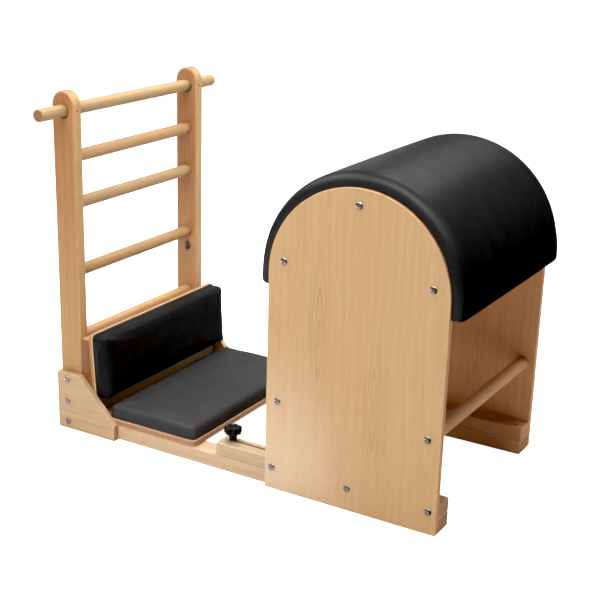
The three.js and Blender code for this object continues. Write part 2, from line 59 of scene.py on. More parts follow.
class Graph:
    """A short way to write a node tree."""

    def __init__(self, name):
        self.mat = bpy.data.materials.new(name)
        self.mat.use_nodes = True
        self.t = self.mat.node_tree
        self.t.nodes.clear()
        self.out = self.t.nodes.new("ShaderNodeOutputMaterial")
        self.bsdf = self.t.nodes.new("ShaderNodeBsdfPrincipled")
        self.t.links.new(self.bsdf.outputs[0], self.out.inputs[0])

    def put(self, socket, value):
        if isinstance(value, bpy.types.NodeSocket):
            self.t.links.new(value, socket)
        elif value is not None:
            socket.default_value = value

    def node(self, kind, props=None, **inputs):
        n = self.t.nodes.new(kind)
        for k, v in (props or {}).items():
            setattr(n, k, v)
        for k, v in inputs.items():
            self.put(n.inputs[k.replace("_", " ")], v)
        return n

    def coords(self):
        return self.node("ShaderNodeTexCoord").outputs["Object"]

    def move(self, vector, scale=(1, 1, 1), loc=(0, 0, 0), rot=(0, 0, 0)):
        n = self.node("ShaderNodeMapping")
        self.put(n.inputs["Vector"], vector)
        n.inputs["Location"].default_value = loc
        n.inputs["Scale"].default_value = scale
        n.inputs["Rotation"].default_value = rot
        return n.outputs[0]

    def noise(self, vector, scale=1.0, detail=2.0, rough=0.5, distortion=0.0):
        n = self.node("ShaderNodeTexNoise")
        self.put(n.inputs["Vector"], vector)
        n.inputs["Scale"].default_value = scale
        n.inputs["Detail"].default_value = detail
        n.inputs["Roughness"].default_value = rough
        n.inputs["Distortion"].default_value = distortion
        return n.outputs[0]

    def noise_rgb(self, vector, scale=1.0, detail=2.0):
        n = self.node("ShaderNodeTexNoise")
        self.put(n.inputs["Vector"], vector)
        n.inputs["Scale"].default_value = scale
        n.inputs["Detail"].default_value = detail
        return n.outputs["Color"]

    def math(self, op, a, b=None, c=None, clamp=False):
        n = self.node("ShaderNodeMath", {"operation": op, "use_clamp": clamp})
        self.put(n.inputs[0], a)
        self.put(n.inputs[1], b)
        self.put(n.inputs[2], c)
        return n.outputs[0]

    def vec(self, op, a, b=None, scale=None):
        n = self.node("ShaderNodeVectorMath", {"operation": op})
        self.put(n.inputs[0], a)
        self.put(n.inputs[1], b)
        if scale is not None:
            self.put(n.inputs["Scale"], scale)
        return n.outputs["Value"] if op in ("LENGTH", "DISTANCE", "DOT_PRODUCT") else n.outputs[0]

    def remap(self, value, a, b, c=0.0, d=1.0, smooth=False):
        n = self.node("ShaderNodeMapRange")
        if smooth:
            n.interpolation_type = "SMOOTHSTEP"
        self.put(n.inputs[0], value)
        for i, x in enumerate((a, b, c, d)):
            n.inputs[i + 1].default_value = x
        return n.outputs[0]

    def mix(self, fac, a, b, mode="MIX"):
        n = self.node("ShaderNodeMix", {"data_type": "RGBA", "blend_type": mode})
        self.put(n.inputs[0], fac)
        self.put(n.inputs[6], a)
        self.put(n.inputs[7], b)
        return n.outputs[2]

    def ramp(self, fac, stops):
        n = self.node("ShaderNodeValToRGB")
        self.put(n.inputs[0], fac)
        r = n.color_ramp
        while len(r.elements) < len(stops):
            r.elements.new(0.5)
        for e, (p, c) in zip(r.elements, stops):
            e.position = p
            e.color = c
        return n.outputs[0]

    def attribute(self, name):
        n = self.node("ShaderNodeAttribute")
        n.attribute_name = name
        return n.outputs["Fac"]

    def split(self, vector):
        n = self.node("ShaderNodeSeparateXYZ")
        self.put(n.inputs[0], vector)
        return n.outputs

    def bump(self, height, strength=1.0, distance=0.0002, normal=None):
        n = self.node("ShaderNodeBump")
        n.inputs["Strength"].default_value = strength
        n.inputs["Distance"].default_value = distance
        self.put(n.inputs["Height"], height)
        self.put(n.inputs["Normal"], normal)
        return n.outputs[0]

    def finish(self, color, rough, normal=None, **fixed):
        self.put(self.bsdf.inputs["Base Color"], color)
        self.put(self.bsdf.inputs["Roughness"], rough)
        self.put(self.bsdf.inputs["Normal"], normal)
        for k, v in fixed.items():
            self.bsdf.inputs[k.replace("_", " ")].default_value = v
        return self.mat


def seeded(seed):
    r = random.Random(seed)
    return tuple(r.uniform(-8, 8) for _ in range(3))


AXES = {"X": 0, "Y": 1, "Z": 2}


def stretch(axis, across, along):
    s = [across] * 3
    s[AXES[axis]] = along
    return tuple(s)


# ------------------------------------------------------------------ materials
BEECH = ((164, 108, 66), (184, 134, 88), (199, 157, 112))
LAMINATE = ((171, 134, 90), (183, 147, 102), (194, 162, 122))
# painted light: the far panel's redder tones paint the shade and orange bounce light inside the barrel
LAMINATE_FAR_SHADED = ((192, 136, 90), (204, 149, 102), (216, 165, 120))


def solid_wood(name, axis, seed, tones=BEECH, pith=(0.05, 0.09), ring=58.0, contrast=1.0, knot=None,
               ends=((166, 114, 74), (192, 142, 100)), tone_and_light_gain=None, faces=None):
    """Lacquered solid beech with its grain along an axis. tint is a gain on the
    finished colour, for some parts its tone and for others painted light and shade; faces holds three gains of painted
    light and shade, for the foot, the head and the wide side."""
    g = Graph(name)
    base = g.coords()
    p = g.move(base, loc=seeded(seed))
    if knot:
        knot, swirl_at = knot
        # the grain swerves round the knot
        away = g.vec("SUBTRACT", base, knot)
        flat = g.move(away, scale=(1, 1, 0.55))
        dist = g.vec("LENGTH", flat)
        pull = g.remap(dist, 0.012, 0.055, 1.0, 0.0, smooth=True)
        p = g.vec("ADD", p, g.vec("SCALE", away, scale=g.math("MULTIPLY", pull, -0.45)))
    warp = g.noise_rgb(g.move(p, stretch(axis, 13, 1.6)), 1.0, 2.0)
    warp = g.vec("SUBTRACT", warp, (0.5, 0.5, 0.5))
    pw = g.vec("ADD", p, g.vec("SCALE", warp, scale=0.016))
    # growth rings about a pith outside the board
    k = [0.0, 0.0, 0.0]
    others = [i for i in range(3) if i != AXES[axis]]
    s = seeded(seed)
    k[others[0]] = pith[0] - s[others[0]]
    k[others[1]] = pith[1] - s[others[1]]
    rings_at = g.move(pw, scale=stretch(axis, 1, 0.045), loc=tuple(k))
    wave = g.node("ShaderNodeTexWave", {"wave_type": "RINGS", "rings_direction": axis, "wave_profile": "SIN"})
    g.put(wave.inputs["Vector"], rings_at)
    wave.inputs["Scale"].default_value = ring
    wave.inputs["Distortion"].default_value = 1.6
    wave.inputs["Detail"].default_value = 2.0
    wave.inputs["Detail Scale"].default_value = 0.7
    rings = wave.outputs[1]
    large = g.noise(g.move(p, stretch(axis, 11, 1.1)), 1.0, 2.0)
    streak = g.noise(g.move(pw, stretch(axis, 170, 3.2)), 1.0, 4.0, 0.62)
    fibre = g.noise(g.move(pw, stretch(axis, 1100, 22)), 1.0, 3.0, 0.6)
    # ray flecks: short dark dashes along the grain
    fleck = g.noise(g.move(p, stretch(axis, 760, 95)), 1.0, 1.0, 0.4)
    fleck = g.remap(fleck, 0.63, 0.71, 0.0, 1.0, smooth=True)
    v = g.math("MULTIPLY", streak, 0.62)
    v = g.math("MULTIPLY_ADD", rings, 0.13 * contrast, v)
    v = g.math("MULTIPLY_ADD", large, 0.30, v)
    v = g.remap(v, 0.24, 0.82)
    color = g.ramp(v, [(0.0, lin(*tones[0])), (0.5, lin(*tones[1])), (1.0, lin(*tones[2]))])
    color = g.mix(g.math("MULTIPLY", fleck, 0.24 * contrast), color, lin(134, 82, 46))
    color = g.mix(0.10, color, g.ramp(fibre, [(0.3, (0.25, 0.17, 0.10, 1)), (0.7, (1, 1, 1, 1))]), "OVERLAY")
    # end grain is darker and redder, with fine pores
    end = g.attribute("end")
    pores = g.noise(g.move(p, (900, 900, 900)), 1.0, 2.0)
    endc = g.mix(g.remap(rings, 0.2, 0.9), lin(*ends[0]), lin(*ends[1]))
    endc = g.mix(g.remap(pores, 0.55, 0.7, 0.0, 0.35), endc, lin(110, 66, 40))
    color = g.mix(end, color, endc)
    # a gain on the colour: for some parts a tone, for others painted light and shade
    if tone_and_light_gain:
        color = g.mix(1.0, color, (*tone_and_light_gain, 1), "MULTIPLY")
    if faces:
        # painted light and shade: gains on the colour, lighter on the narrow sides and darker towards the head, for how
        # light falls on the uprights
        low, high, wide = faces
        turned = g.split(g.node("ShaderNodeTexCoord").outputs["Normal"])[0]
        painted_light_gain = g.mix(g.remap(g.split(base)[2], 0.30, 0.72, smooth=True), (*low, 1), (*high, 1))
        painted_light_gain = g.mix(g.remap(g.math("ABSOLUTE", turned), 0.45, 0.8), painted_light_gain, (*wide, 1))
        color = g.mix(1.0, color, painted_light_gain, "MULTIPLY")
    # rounded edges are paler: partly wear, where the lacquer is thinner and the wood paler, and partly a painted
    # highlight where the rounded edges catch light
    edge = g.attribute("edge")
    edge_wear_and_highlight = g.math("MULTIPLY", edge, g.remap(g.noise(g.move(p, (60, 60, 60)), 1.0, 3.0), 0.35, 0.65, 0.15, 0.75))
    color = g.mix(g.math("MULTIPLY", edge_wear_and_highlight, 0.35), color, lin(*[min(255, c + 16) for c in tones[2]]))
    rough = g.remap(streak, 0.3, 0.7, 0.52, 0.42)
    rough = g.math("MULTIPLY_ADD", edge_wear_and_highlight, 0.06, rough)
    height = g.math("MULTIPLY_ADD", fleck, -0.5, g.math("MULTIPLY_ADD", fibre, 0.8, g.math("MULTIPLY", streak, 0.5)))
    if knot:
        # an orange swirl round the knot where it comes out on the next face
        away2 = g.vec("SUBTRACT", base, swirl_at)
        dist2 = g.vec("LENGTH", g.move(away2, scale=(1, 1, 0.8)))
        wav = g.math("SUBTRACT", g.noise(g.move(base, (60, 60, 40)), 1.0, 3.0), 0.5)
        dist2 = g.math("MULTIPLY_ADD", wav, 0.014, dist2)
        turns2 = g.math("SINE", g.math("MULTIPLY", dist2, 1150.0))
        swirl2 = g.mix(g.remap(turns2, -1, 1), lin(170, 112, 64), lin(206, 164, 118))
        color = g.mix(g.remap(dist2, 0.010, 0.027, 0.7, 0.0, smooth=True), color, swirl2)
        heart = g.remap(dist2, 0.002, 0.006, 0.6, 0.0, smooth=True)
        color = g.mix(heart, color, lin(146, 88, 50))
        wood = color
        core = g.math("MULTIPLY_ADD", g.math("SUBTRACT", g.noise(g.move(base, (110, 110, 60)), 1.0, 3.0), 0.5), 0.012, dist)
        swirl = g.math("SINE", g.math("MULTIPLY", core, 1500.0))
        halo = g.remap(core, 0.010, 0.030, 0.75, 0.0, smooth=True)
        swirlc = g.mix(g.remap(swirl, -1, 1), lin(148, 92, 56), lin(200, 150, 108))
        wood = g.mix(halo, wood, swirlc)
        dark = g.remap(core, 0.0075, 0.0115, 1.0, 0.0, smooth=True)
        broken = g.remap(g.noise(g.move(base, (230, 230, 120)), 1.0, 3.0), 0.36, 0.50, 0.65, 1.0)
        color = g.mix(g.math("MULTIPLY", dark, broken), wood, lin(26, 11, 5))
        height = g.math("SUBTRACT", height, dark)
    normal = g.bump(height, 0.35, 0.00025)
    return g.finish(color, rough, normal, Coat_Weight=0.12, Coat_Roughness=0.28, Specular_IOR_Level=0.42)


def laminate(name, axis, seed, tones=LAMINATE, bounce_light_at=None, figure=()):
    """Beech-print laminate board with an edge band, grain along an axis."""
    g = Graph(name)
    base = g.coords()
    p = g.move(base, loc=seeded(seed))
    warp = g.noise_rgb(g.move(p, stretch(axis, 5.5, 1.5)), 1.0, 3.0)
    warp = g.vec("SUBTRACT", warp, (0.5, 0.5, 0.5))
    pw = g.vec("ADD", p, g.vec("SCALE", warp, scale=0.035))
    broad = g.noise(g.move(pw, stretch(axis, 26, 0.9)), 1.0, 3.0, 0.55)
    mid = g.noise(g.move(pw, stretch(axis, 95, 1.9)), 1.0, 4.0, 0.6)
    fine = g.noise(g.move(pw, stretch(axis, 520, 9.0)), 1.0, 3.0, 0.6)
    dash = g.noise(g.move(p, stretch(axis, 620, 62)), 1.0, 1.0, 0.4)
    dash = g.remap(dash, 0.62, 0.70, 0.0, 1.0, smooth=True)
    bands = g.node("ShaderNodeTexWave", {"wave_type": "BANDS", "bands_direction": "X" if axis != "X" else "Z", "wave_profile": "SIN"})
    g.put(bands.inputs["Vector"], g.move(pw, stretch(axis, 1, 0.12)))
    bands.inputs["Scale"].default_value = 14.0
    bands.inputs["Distortion"].default_value = 5.0
    bands.inputs["Detail"].default_value = 3.0
    bands.inputs["Detail Scale"].default_value = 1.6
    v = g.math("MULTIPLY", broad, 0.24)
    v = g.math("MULTIPLY_ADD", mid, 0.30, v)
    v = g.math("MULTIPLY_ADD", fine, 0.44, v)
    v = g.math("MULTIPLY_ADD", bands.outputs[1], 0.06, v)
    v = g.remap(v, 0.26, 0.78)
    color = g.ramp(v, [(0.0, lin(*tones[0])), (0.5, lin(*tones[1])), (1.0, lin(*tones[2]))])
    # nested arches where the print's log was cut near its heart
    for at, wide, tall, scale in figure:
        off = g.vec("SUBTRACT", base, at)
        off = g.vec("ADD", off, g.vec("SCALE", warp, scale=0.05))
        far = g.vec("LENGTH", g.move(off, scale=(1, 0, 0.085)))
        arches = g.math("SINE", g.math("MULTIPLY", far, scale))
        arches = g.math("MULTIPLY", g.remap(arches, -0.2, 1.0, 0.0, 1.0, smooth=True), g.remap(fine, 0.3, 0.6, 0.35, 1.0))
        reach = g.vec("LENGTH", g.move(off, scale=(1 / wide, 0, 1 / tall)))
        arches = g.math("MULTIPLY", arches, g.remap(reach, 0.5, 1.0, 0.34, 0.0, smooth=True))
        color = g.mix(arches, color, lin(*[c - 26 for c in tones[0]]))
    # rosy streaks in the print; and painted light: a paler patch at the near panel's lower left, where light bounced
    # off the floor falls
    rosy = g.remap(g.noise(g.move(pw, stretch(axis, 60, 1.3)), 1.0, 2.0), 0.52, 0.70, 0.0, 0.16, smooth=True)
    color = g.mix(rosy, color, lin(190, 138, 98))
    if bounce_light_at:
        far = g.vec("LENGTH", g.move(g.vec("SUBTRACT", base, bounce_light_at), scale=(1, 1, 0.75)))
        color = g.mix(g.remap(far, 0.03, 0.34, 0.42, 0.0, smooth=True), color, lin(226, 204, 180))
    color = g.mix(g.math("MULTIPLY", dash, 0.16), color, lin(160, 112, 72))
    end = g.attribute("end")
    band = g.mix(g.remap(mid, 0.3, 0.7), lin(180, 126, 84), lin(202, 150, 106))
    color = g.mix(end, color, band)
    # rounded edges paler: scuffs, which are wear, and an even painted highlight along every rounded edge
    edge = g.attribute("edge")
    scuff = g.math("MULTIPLY", edge, g.remap(g.noise(g.move(p, (45, 45, 45)), 1.0, 3.0), 0.4, 0.62, 0.2, 1.0))
    color = g.mix(g.math("MULTIPLY_ADD", scuff, 0.3, g.math("MULTIPLY", edge, 0.12)), color, lin(226, 188, 148))
    rough = g.remap(fine, 0.3, 0.7, 0.46, 0.36)
    rough = g.math("MULTIPLY_ADD", scuff, 0.08, rough)
    normal = g.bump(g.math("MULTIPLY_ADD", fine, 0.7, g.math("MULTIPLY", dash, -0.5)), 0.25, 0.00012)
    return g.finish(color, rough, normal, Specular_IOR_Level=0.42)


def plywood(name, axis, seed, tones=((160, 112, 72), (180, 132, 90), (196, 150, 108)), ply=3.0, edge_highlight=0.2,
            layers=((128, 84, 60), (150, 104, 76), (190, 144, 110), (208, 164, 126)), front=None):
    """Lacquered plywood: a wood face, and its layers along the edges. The point
    attribute lay is the depth into the board in millimetres; front gives two
    tones of painted shade for the face that the pad covers, 12 mm in; rim is a painted highlight along the rounded
    edges."""
    g = Graph(name)
    p = g.move(g.coords(), loc=seeded(seed))
    warp = g.vec("SUBTRACT", g.noise_rgb(g.move(p, stretch(axis, 8, 1.4)), 1.0, 2.0), (0.5, 0.5, 0.5))
    pw = g.vec("ADD", p, g.vec("SCALE", warp, scale=0.03))
    streak = g.noise(g.move(pw, stretch(axis, 120, 2.6)), 1.0, 4.0, 0.6)
    fibre = g.noise(g.move(pw, stretch(axis, 900, 18)), 1.0, 3.0, 0.6)
    v = g.remap(g.math("MULTIPLY_ADD", fibre, 0.3, g.math("MULTIPLY", streak, 0.7)), 0.3, 0.7)
    face = g.ramp(v, [(0.0, lin(*tones[0])), (0.5, lin(*tones[1])), (1.0, lin(*tones[2]))])
    # edge: alternate plies show long grain and end grain
    lay = g.attribute("lay")
    wob = g.math("MULTIPLY", g.math("SUBTRACT", g.noise(g.move(p, (30, 30, 30)), 1.0, 2.0), 0.5), 0.5)
    t = g.math("COSINE", g.math("MULTIPLY", g.math("ADD", lay, wob), 2 * math.pi / ply))
    t = g.remap(t, -0.5, 0.5, 0.0, 1.0, smooth=True)
    dots = g.noise(g.move(p, (500, 500, 500)), 1.0, 2.0)
    dark = g.mix(g.remap(dots, 0.4, 0.6), lin(*layers[0]), lin(*layers[1]))
    light = g.mix(g.remap(fibre, 0.35, 0.65), lin(*layers[2]), lin(*layers[3]))
    # painted shade: the face under the pad darkened, as the shadowed strip below the back pad
    if front:
        painted_shade_tones = g.mix(g.remap(streak, 0.3, 0.7), lin(*front[0]), lin(*front[1]))
        face = g.mix(g.remap(lay, 10.5, 11.5), face, painted_shade_tones)
    edgec = g.mix(t, dark, light)
    end = g.attribute("end")
    color = g.mix(end, face, edgec)
    # rounded edges paler: partly wear, partly an even painted highlight along the edges
    edge = g.attribute("edge")
    edge_wear_and_highlight = g.math("MULTIPLY", edge, g.remap(g.noise(g.move(p, (55, 55, 55)), 1.0, 3.0), 0.4, 0.6, 0.1, 0.7))
    color = g.mix(g.math("MULTIPLY_ADD", edge_wear_and_highlight, 0.3, g.math("MULTIPLY", edge, edge_highlight)), color, lin(236, 198, 158))
    height = g.math("MULTIPLY_ADD", g.math("MULTIPLY", t, end), 0.5, g.math("MULTIPLY", fibre, 0.7))
    normal = g.bump(height, 0.3, 0.0002)
    rough = g.math("MULTIPLY_ADD", end, 0.12, g.remap(streak, 0.3, 0.7, 0.50, 0.40))
    return g.finish(color, rough, normal, Coat_Weight=0.08, Coat_Roughness=0.3, Specular_IOR_Level=0.42)


def vinyl(name, seed, rough=0.44, gloss=0.5, base=((20, 20, 21), (27, 27, 27))):
    """Black upholstery vinyl with a fine leather grain."""
    g = Graph(name)
    p = g.move(g.coords(), loc=seeded(seed))
    cells = g.node("ShaderNodeTexVoronoi", {"feature": "SMOOTH_F1"})
    g.put(cells.inputs["Vector"], g.vec("ADD", p, g.vec("SCALE", g.noise_rgb(p, 260.0, 2.0), scale=0.0012)))
    cells.inputs["Scale"].default_value = 620.0
    cells.inputs["Smoothness"].default_value = 0.35
    grain = g.remap(cells.outputs["Distance"], 0.1, 0.62, 1.0, 0.0)
    fine = g.noise(p, 2600.0, 2.0, 0.5)
    soft = g.noise(p, 9.0, 2.0, 0.5)
    cloud = g.noise(p, 22.0, 3.0, 0.55)
    color = g.mix(g.remap(cloud, 0.35, 0.65), lin(*base[0]), lin(*base[1]))
    color = g.mix(g.math("MULTIPLY", grain, 0.25), color, lin(*[c + 10 for c in base[1]]))
    matt = g.remap(cloud, 0.3, 0.7, rough + 0.03, rough - 0.03)
    matt = g.math("MULTIPLY_ADD", grain, -0.04, matt)
    height = g.math("MULTIPLY_ADD", fine, 0.25, grain)
    normal = g.bump(height, 0.30, 0.00012)
    normal = g.bump(soft, 0.25, 0.004, normal)
    return g.finish(color, matt, normal, Specular_IOR_Level=gloss)


def bright_steel(name, seed, rough=0.2):
    """Plated steel with faint turning marks and a little dust."""
    g = Graph(name)
    p = g.move(g.coords(), loc=seeded(seed))
    marks = g.noise(g.move(p, (1500, 9000, 1500)), 1.0, 2.0)
    dust = g.noise(p, 420.0, 4.0, 0.6)
    color = g.mix(g.remap(dust, 0.45, 0.7), lin(212, 208, 206), lin(176, 168, 162))
    r = g.math("MULTIPLY_ADD", g.remap(dust, 0.45, 0.7), 0.14, g.remap(marks, 0.3, 0.7, rough - 0.04, rough + 0.06))
    normal = g.bump(marks, 0.12, 0.00005)
    return g.finish(color, r, normal, Metallic=1.0)


def black_plastic(name, seed):
    """Moulded black plastic with a fine spark-eroded texture."""
    g = Graph(name)
    p = g.move(g.coords(), loc=seeded(seed))
    spark = g.noise(p, 2200.0, 3.0, 0.6)
    cloud = g.noise(p, 90.0, 3.0, 0.5)
    color = g.mix(g.remap(cloud, 0.35, 0.65), lin(15, 15, 16), lin(24, 23, 23))
    edge = g.attribute("edge")
    color = g.mix(g.math("MULTIPLY", edge, g.remap(cloud, 0.4, 0.6, 0.1, 0.5)), color, lin(52, 50, 48))
    rough = g.remap(spark, 0.3, 0.7, 0.40, 0.52)
    return g.finish(color, rough, g.bump(spark, 0.25, 0.00008), Specular_IOR_Level=0.30)


# ------------------------------------------------------------------ mesh help
def smooth_shade(me, angle):
    me.polygons.foreach_set("use_smooth", [True] * len(me.polygons))
    if angle is not None:
        me.set_sharp_from_angle(angle=math.radians(angle))
    me.update()


def new_bm():
    bm = bmesh.new()
    bm.faces.layers.float.new("edge")
    return bm


def prism(outline, lo, hi, plane):
    """Solid with a 2D outline in a plane, from lo to hi across it."""
    bm = new_bm()

    def at(u, v, w):
        return {"XZ": (u, w, v), "XY": (u, v, w), "YZ": (w, u, v)}[plane]

    a = [bm.verts.new(at(u, v, lo)) for u, v in outline]
    b = [bm.verts.new(at(u, v, hi)) for u, v in outline]
    bm.faces.new(a)
    bm.faces.new(list(reversed(b)))
    n = len(outline)
    for i in range(n):
        bm.faces.new((a[i], b[i], b[(i + 1) % n], a[(i + 1) % n]))
    bmesh.ops.recalc_face_normals(bm, faces=bm.faces)
    return bm


def ease(bm, r, segments=3, angle=30, pick=None):
    """Rounds the sharp edges and marks the new faces as edge."""
    lay = bm.faces.layers.float["edge"]
    edges = [
        e
        for e in bm.edges
        if len(e.link_faces) == 2
        and e.calc_face_angle(0) > math.radians(angle)
        and (pick is None or pick(e))
    ]
    made = bmesh.ops.bevel(
        bm, geom=edges, offset=r, offset_type="OFFSET", segments=segments,
        profile=0.5, affect="EDGES", clamp_overlap=True,
    )
    for f in made["faces"]:
        f[lay] = 1.0
    return bm


def arc(cx, cy, r, a0, a1, n, ends=True):
    pts = []
    for i in range(n + 1):
        if not ends and i in (0, n):
            continue
        a = math.radians(a0 + (a1 - a0) * i / n)
        pts.append((cx + r * math.cos(a), cy + r * math.sin(a)))
    return pts


def round_rect(x0, y0, x1, y1, r, n=6):
    a, b, c, d = r if isinstance(r, (list, tuple)) else (r,) * 4
    return (
        arc(x0 + a, y0 + a, a, 180, 270, n)
        + arc(x1 - b, y0 + b, b, 270, 360, n)
        + arc(x1 - c, y1 - c, c, 0, 90, n)
        + arc(x0 + d, y1 - d, d, 90, 180, n)
    )


def lathe(profile, segments, axis="Z", at=(0, 0, 0), closed=False, shape=None, bm=None):
    """Turns (r, h) round an axis. shape(r, h, i, angle) may change the radius."""
    bm = bm or new_bm()
    rings = []
    for i, (r, h) in enumerate(profile):
        if r < 1e-6:
            rings.append([bm.verts.new(_axis(0, 0, h, axis, at))])
            continue
        ring = []
        for j in range(segments):
            a = 2 * math.pi * j / segments
            q = shape(r, h, i, a) if shape else r
            ring.append(bm.verts.new(_axis(q * math.cos(a), q * math.sin(a), h, axis, at)))
        rings.append(ring)
    pairs = list(zip(rings, rings[1:]))
    if closed:
        pairs.append((rings[-1], rings[0]))
    for a, b in pairs:
        n = max(len(a), len(b))
        for j in range(n):
            k = (j + 1) % n
            if len(a) == 1 and len(b) == 1:
                continue
            if len(a) == 1:
                bm.faces.new((a[0], b[j], b[k]))
            elif len(b) == 1:
                bm.faces.new((a[j], b[0], a[k]))
            else:
                bm.faces.new((a[j], b[j], b[k], a[k]))
    bmesh.ops.recalc_face_normals(bm, faces=bm.faces)
    return bm


def _axis(u, v, h, axis, at):
    if axis == "Z":
        p = (u, v, h)
    elif axis == "Y":
        p = (u, h, v)
    else:
        p = (h, u, v)
    return (p[0] + at[0], p[1] + at[1], p[2] + at[2])


def transform(bm, matrix):
    bmesh.ops.transform(bm, matrix=matrix, verts=bm.verts)
    return bm


def rough_object(bm, name):
    me = bpy.data.meshes.new(name)
    bm.to_mesh(me)
    bm.free()
    ob = bpy.data.objects.new(name, me)
    scene.collection.objects.link(ob)
    return ob


def baked(ob):
    """The object with its modifiers applied."""
    bpy.context.view_layer.update()
    dg = bpy.context.evaluated_depsgraph_get()
    me = bpy.data.meshes.new_from_object(ob.evaluated_get(dg), preserve_all_data_layers=True, depsgraph=dg)
    old = ob.data
    ob.modifiers.clear()
    ob.data = me
    bpy.data.meshes.remove(old)
    return ob


def cut(bm, cutters, name="cut"):
    """bm less the cutters, as a new bmesh."""
    ob = rough_object(bm, name)
    tools = []
    for i, c in enumerate(cutters):
        tool = rough_object(c, f"{name}_tool{i}")
        tools.append(tool)
        mod = ob.modifiers.new("cut", "BOOLEAN")
        mod.operation = "DIFFERENCE"
        mod.solver = "EXACT"
        mod.object = tool
    baked(ob)
    out = bmesh.new()
    out.from_mesh(ob.data)
    for o in [ob, *tools]:
        me = o.data
        bpy.data.objects.remove(o)
        bpy.data.meshes.remove(me)
    if "edge" not in out.faces.layers.float:
        out.faces.layers.float.new("edge")
    return out


SCALE = Matrix.Diagonal((0.001, 0.001, 0.001, 1)) @ Matrix.Translation((ORIGIN_X, 0, 0))


def piece(bm, name, nodes, body, material, end_axis=None, end_side=None,
          lay=None, angle=34, weighted=True, in_mm=True):
    """Makes the finished object. end_axis marks the faces across the grain as end
    grain; end_side marks the faces along a board's edge. lay(co) gives the depth
    into a board in millimetres, in the drawing frame."""
    me = bpy.data.meshes.new(name)
    lays = [lay(v.co) for v in bm.verts] if lay else None
    if in_mm:
        transform(bm, SCALE)
    bm.to_mesh(me)
    bm.free()
    ob = bpy.data.objects.new(name, me)
    scene.collection.objects.link(ob)
    normals = np.zeros(len(me.polygons) * 3, np.float32)
    me.polygons.foreach_get("normal", normals)
    normals = normals.reshape(-1, 3)
    ends = np.zeros(len(me.polygons), np.float32)
    if end_axis is not None:
        ends = (np.abs(normals @ np.array(end_axis, np.float32)) > 0.75).astype(np.float32)
    if end_side is not None:
        ends = (np.abs(normals @ np.array(end_side, np.float32)) < 0.6).astype(np.float32)
    at = me.attributes.get("end") or me.attributes.new("end", "FLOAT", "FACE")
    at.data.foreach_set("value", ends)
    if "edge" not in me.attributes:
        me.attributes.new("edge", "FLOAT", "FACE")
    if lays:
        at = me.attributes.new("lay", "FLOAT", "POINT")
        at.data.foreach_set("value", np.array(lays, np.float32))
    smooth_shade(me, angle)
    me.materials.append(material)
    if weighted:
        mod = ob.modifiers.new("normals", "WEIGHTED_NORMAL")
        mod.keep_sharp = True
        mod.mode = "FACE_AREA"
        mod.weight = 60
        baked(ob)
    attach(ob, body)
    if nodes:
        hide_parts(*([nodes] if isinstance(nodes, str) else nodes))
    return ob


# ------------------------------------------------------------------ frame wood
RAIL_H = 43
UP_X, UP_W, UP_T = -932, 76, 35
ARC_Z = 957
RUNG_R = 17.4
RUNG_Z = [941, 807, 673, 473, 273]
GAP = 0.3
SLOT_Y = 273
CLAMP_X = -388
BLACK = 0.012


def span(s, a, b):
    return (-b, -a) if s < 0 else (a, b)


def rod_cutter(r, a, b, axis, at, n=32):
    """A plain round cutter from a to b along an axis."""
    return lathe([(0, a), (r, a), (r, b), (0, b)], n, axis, at)


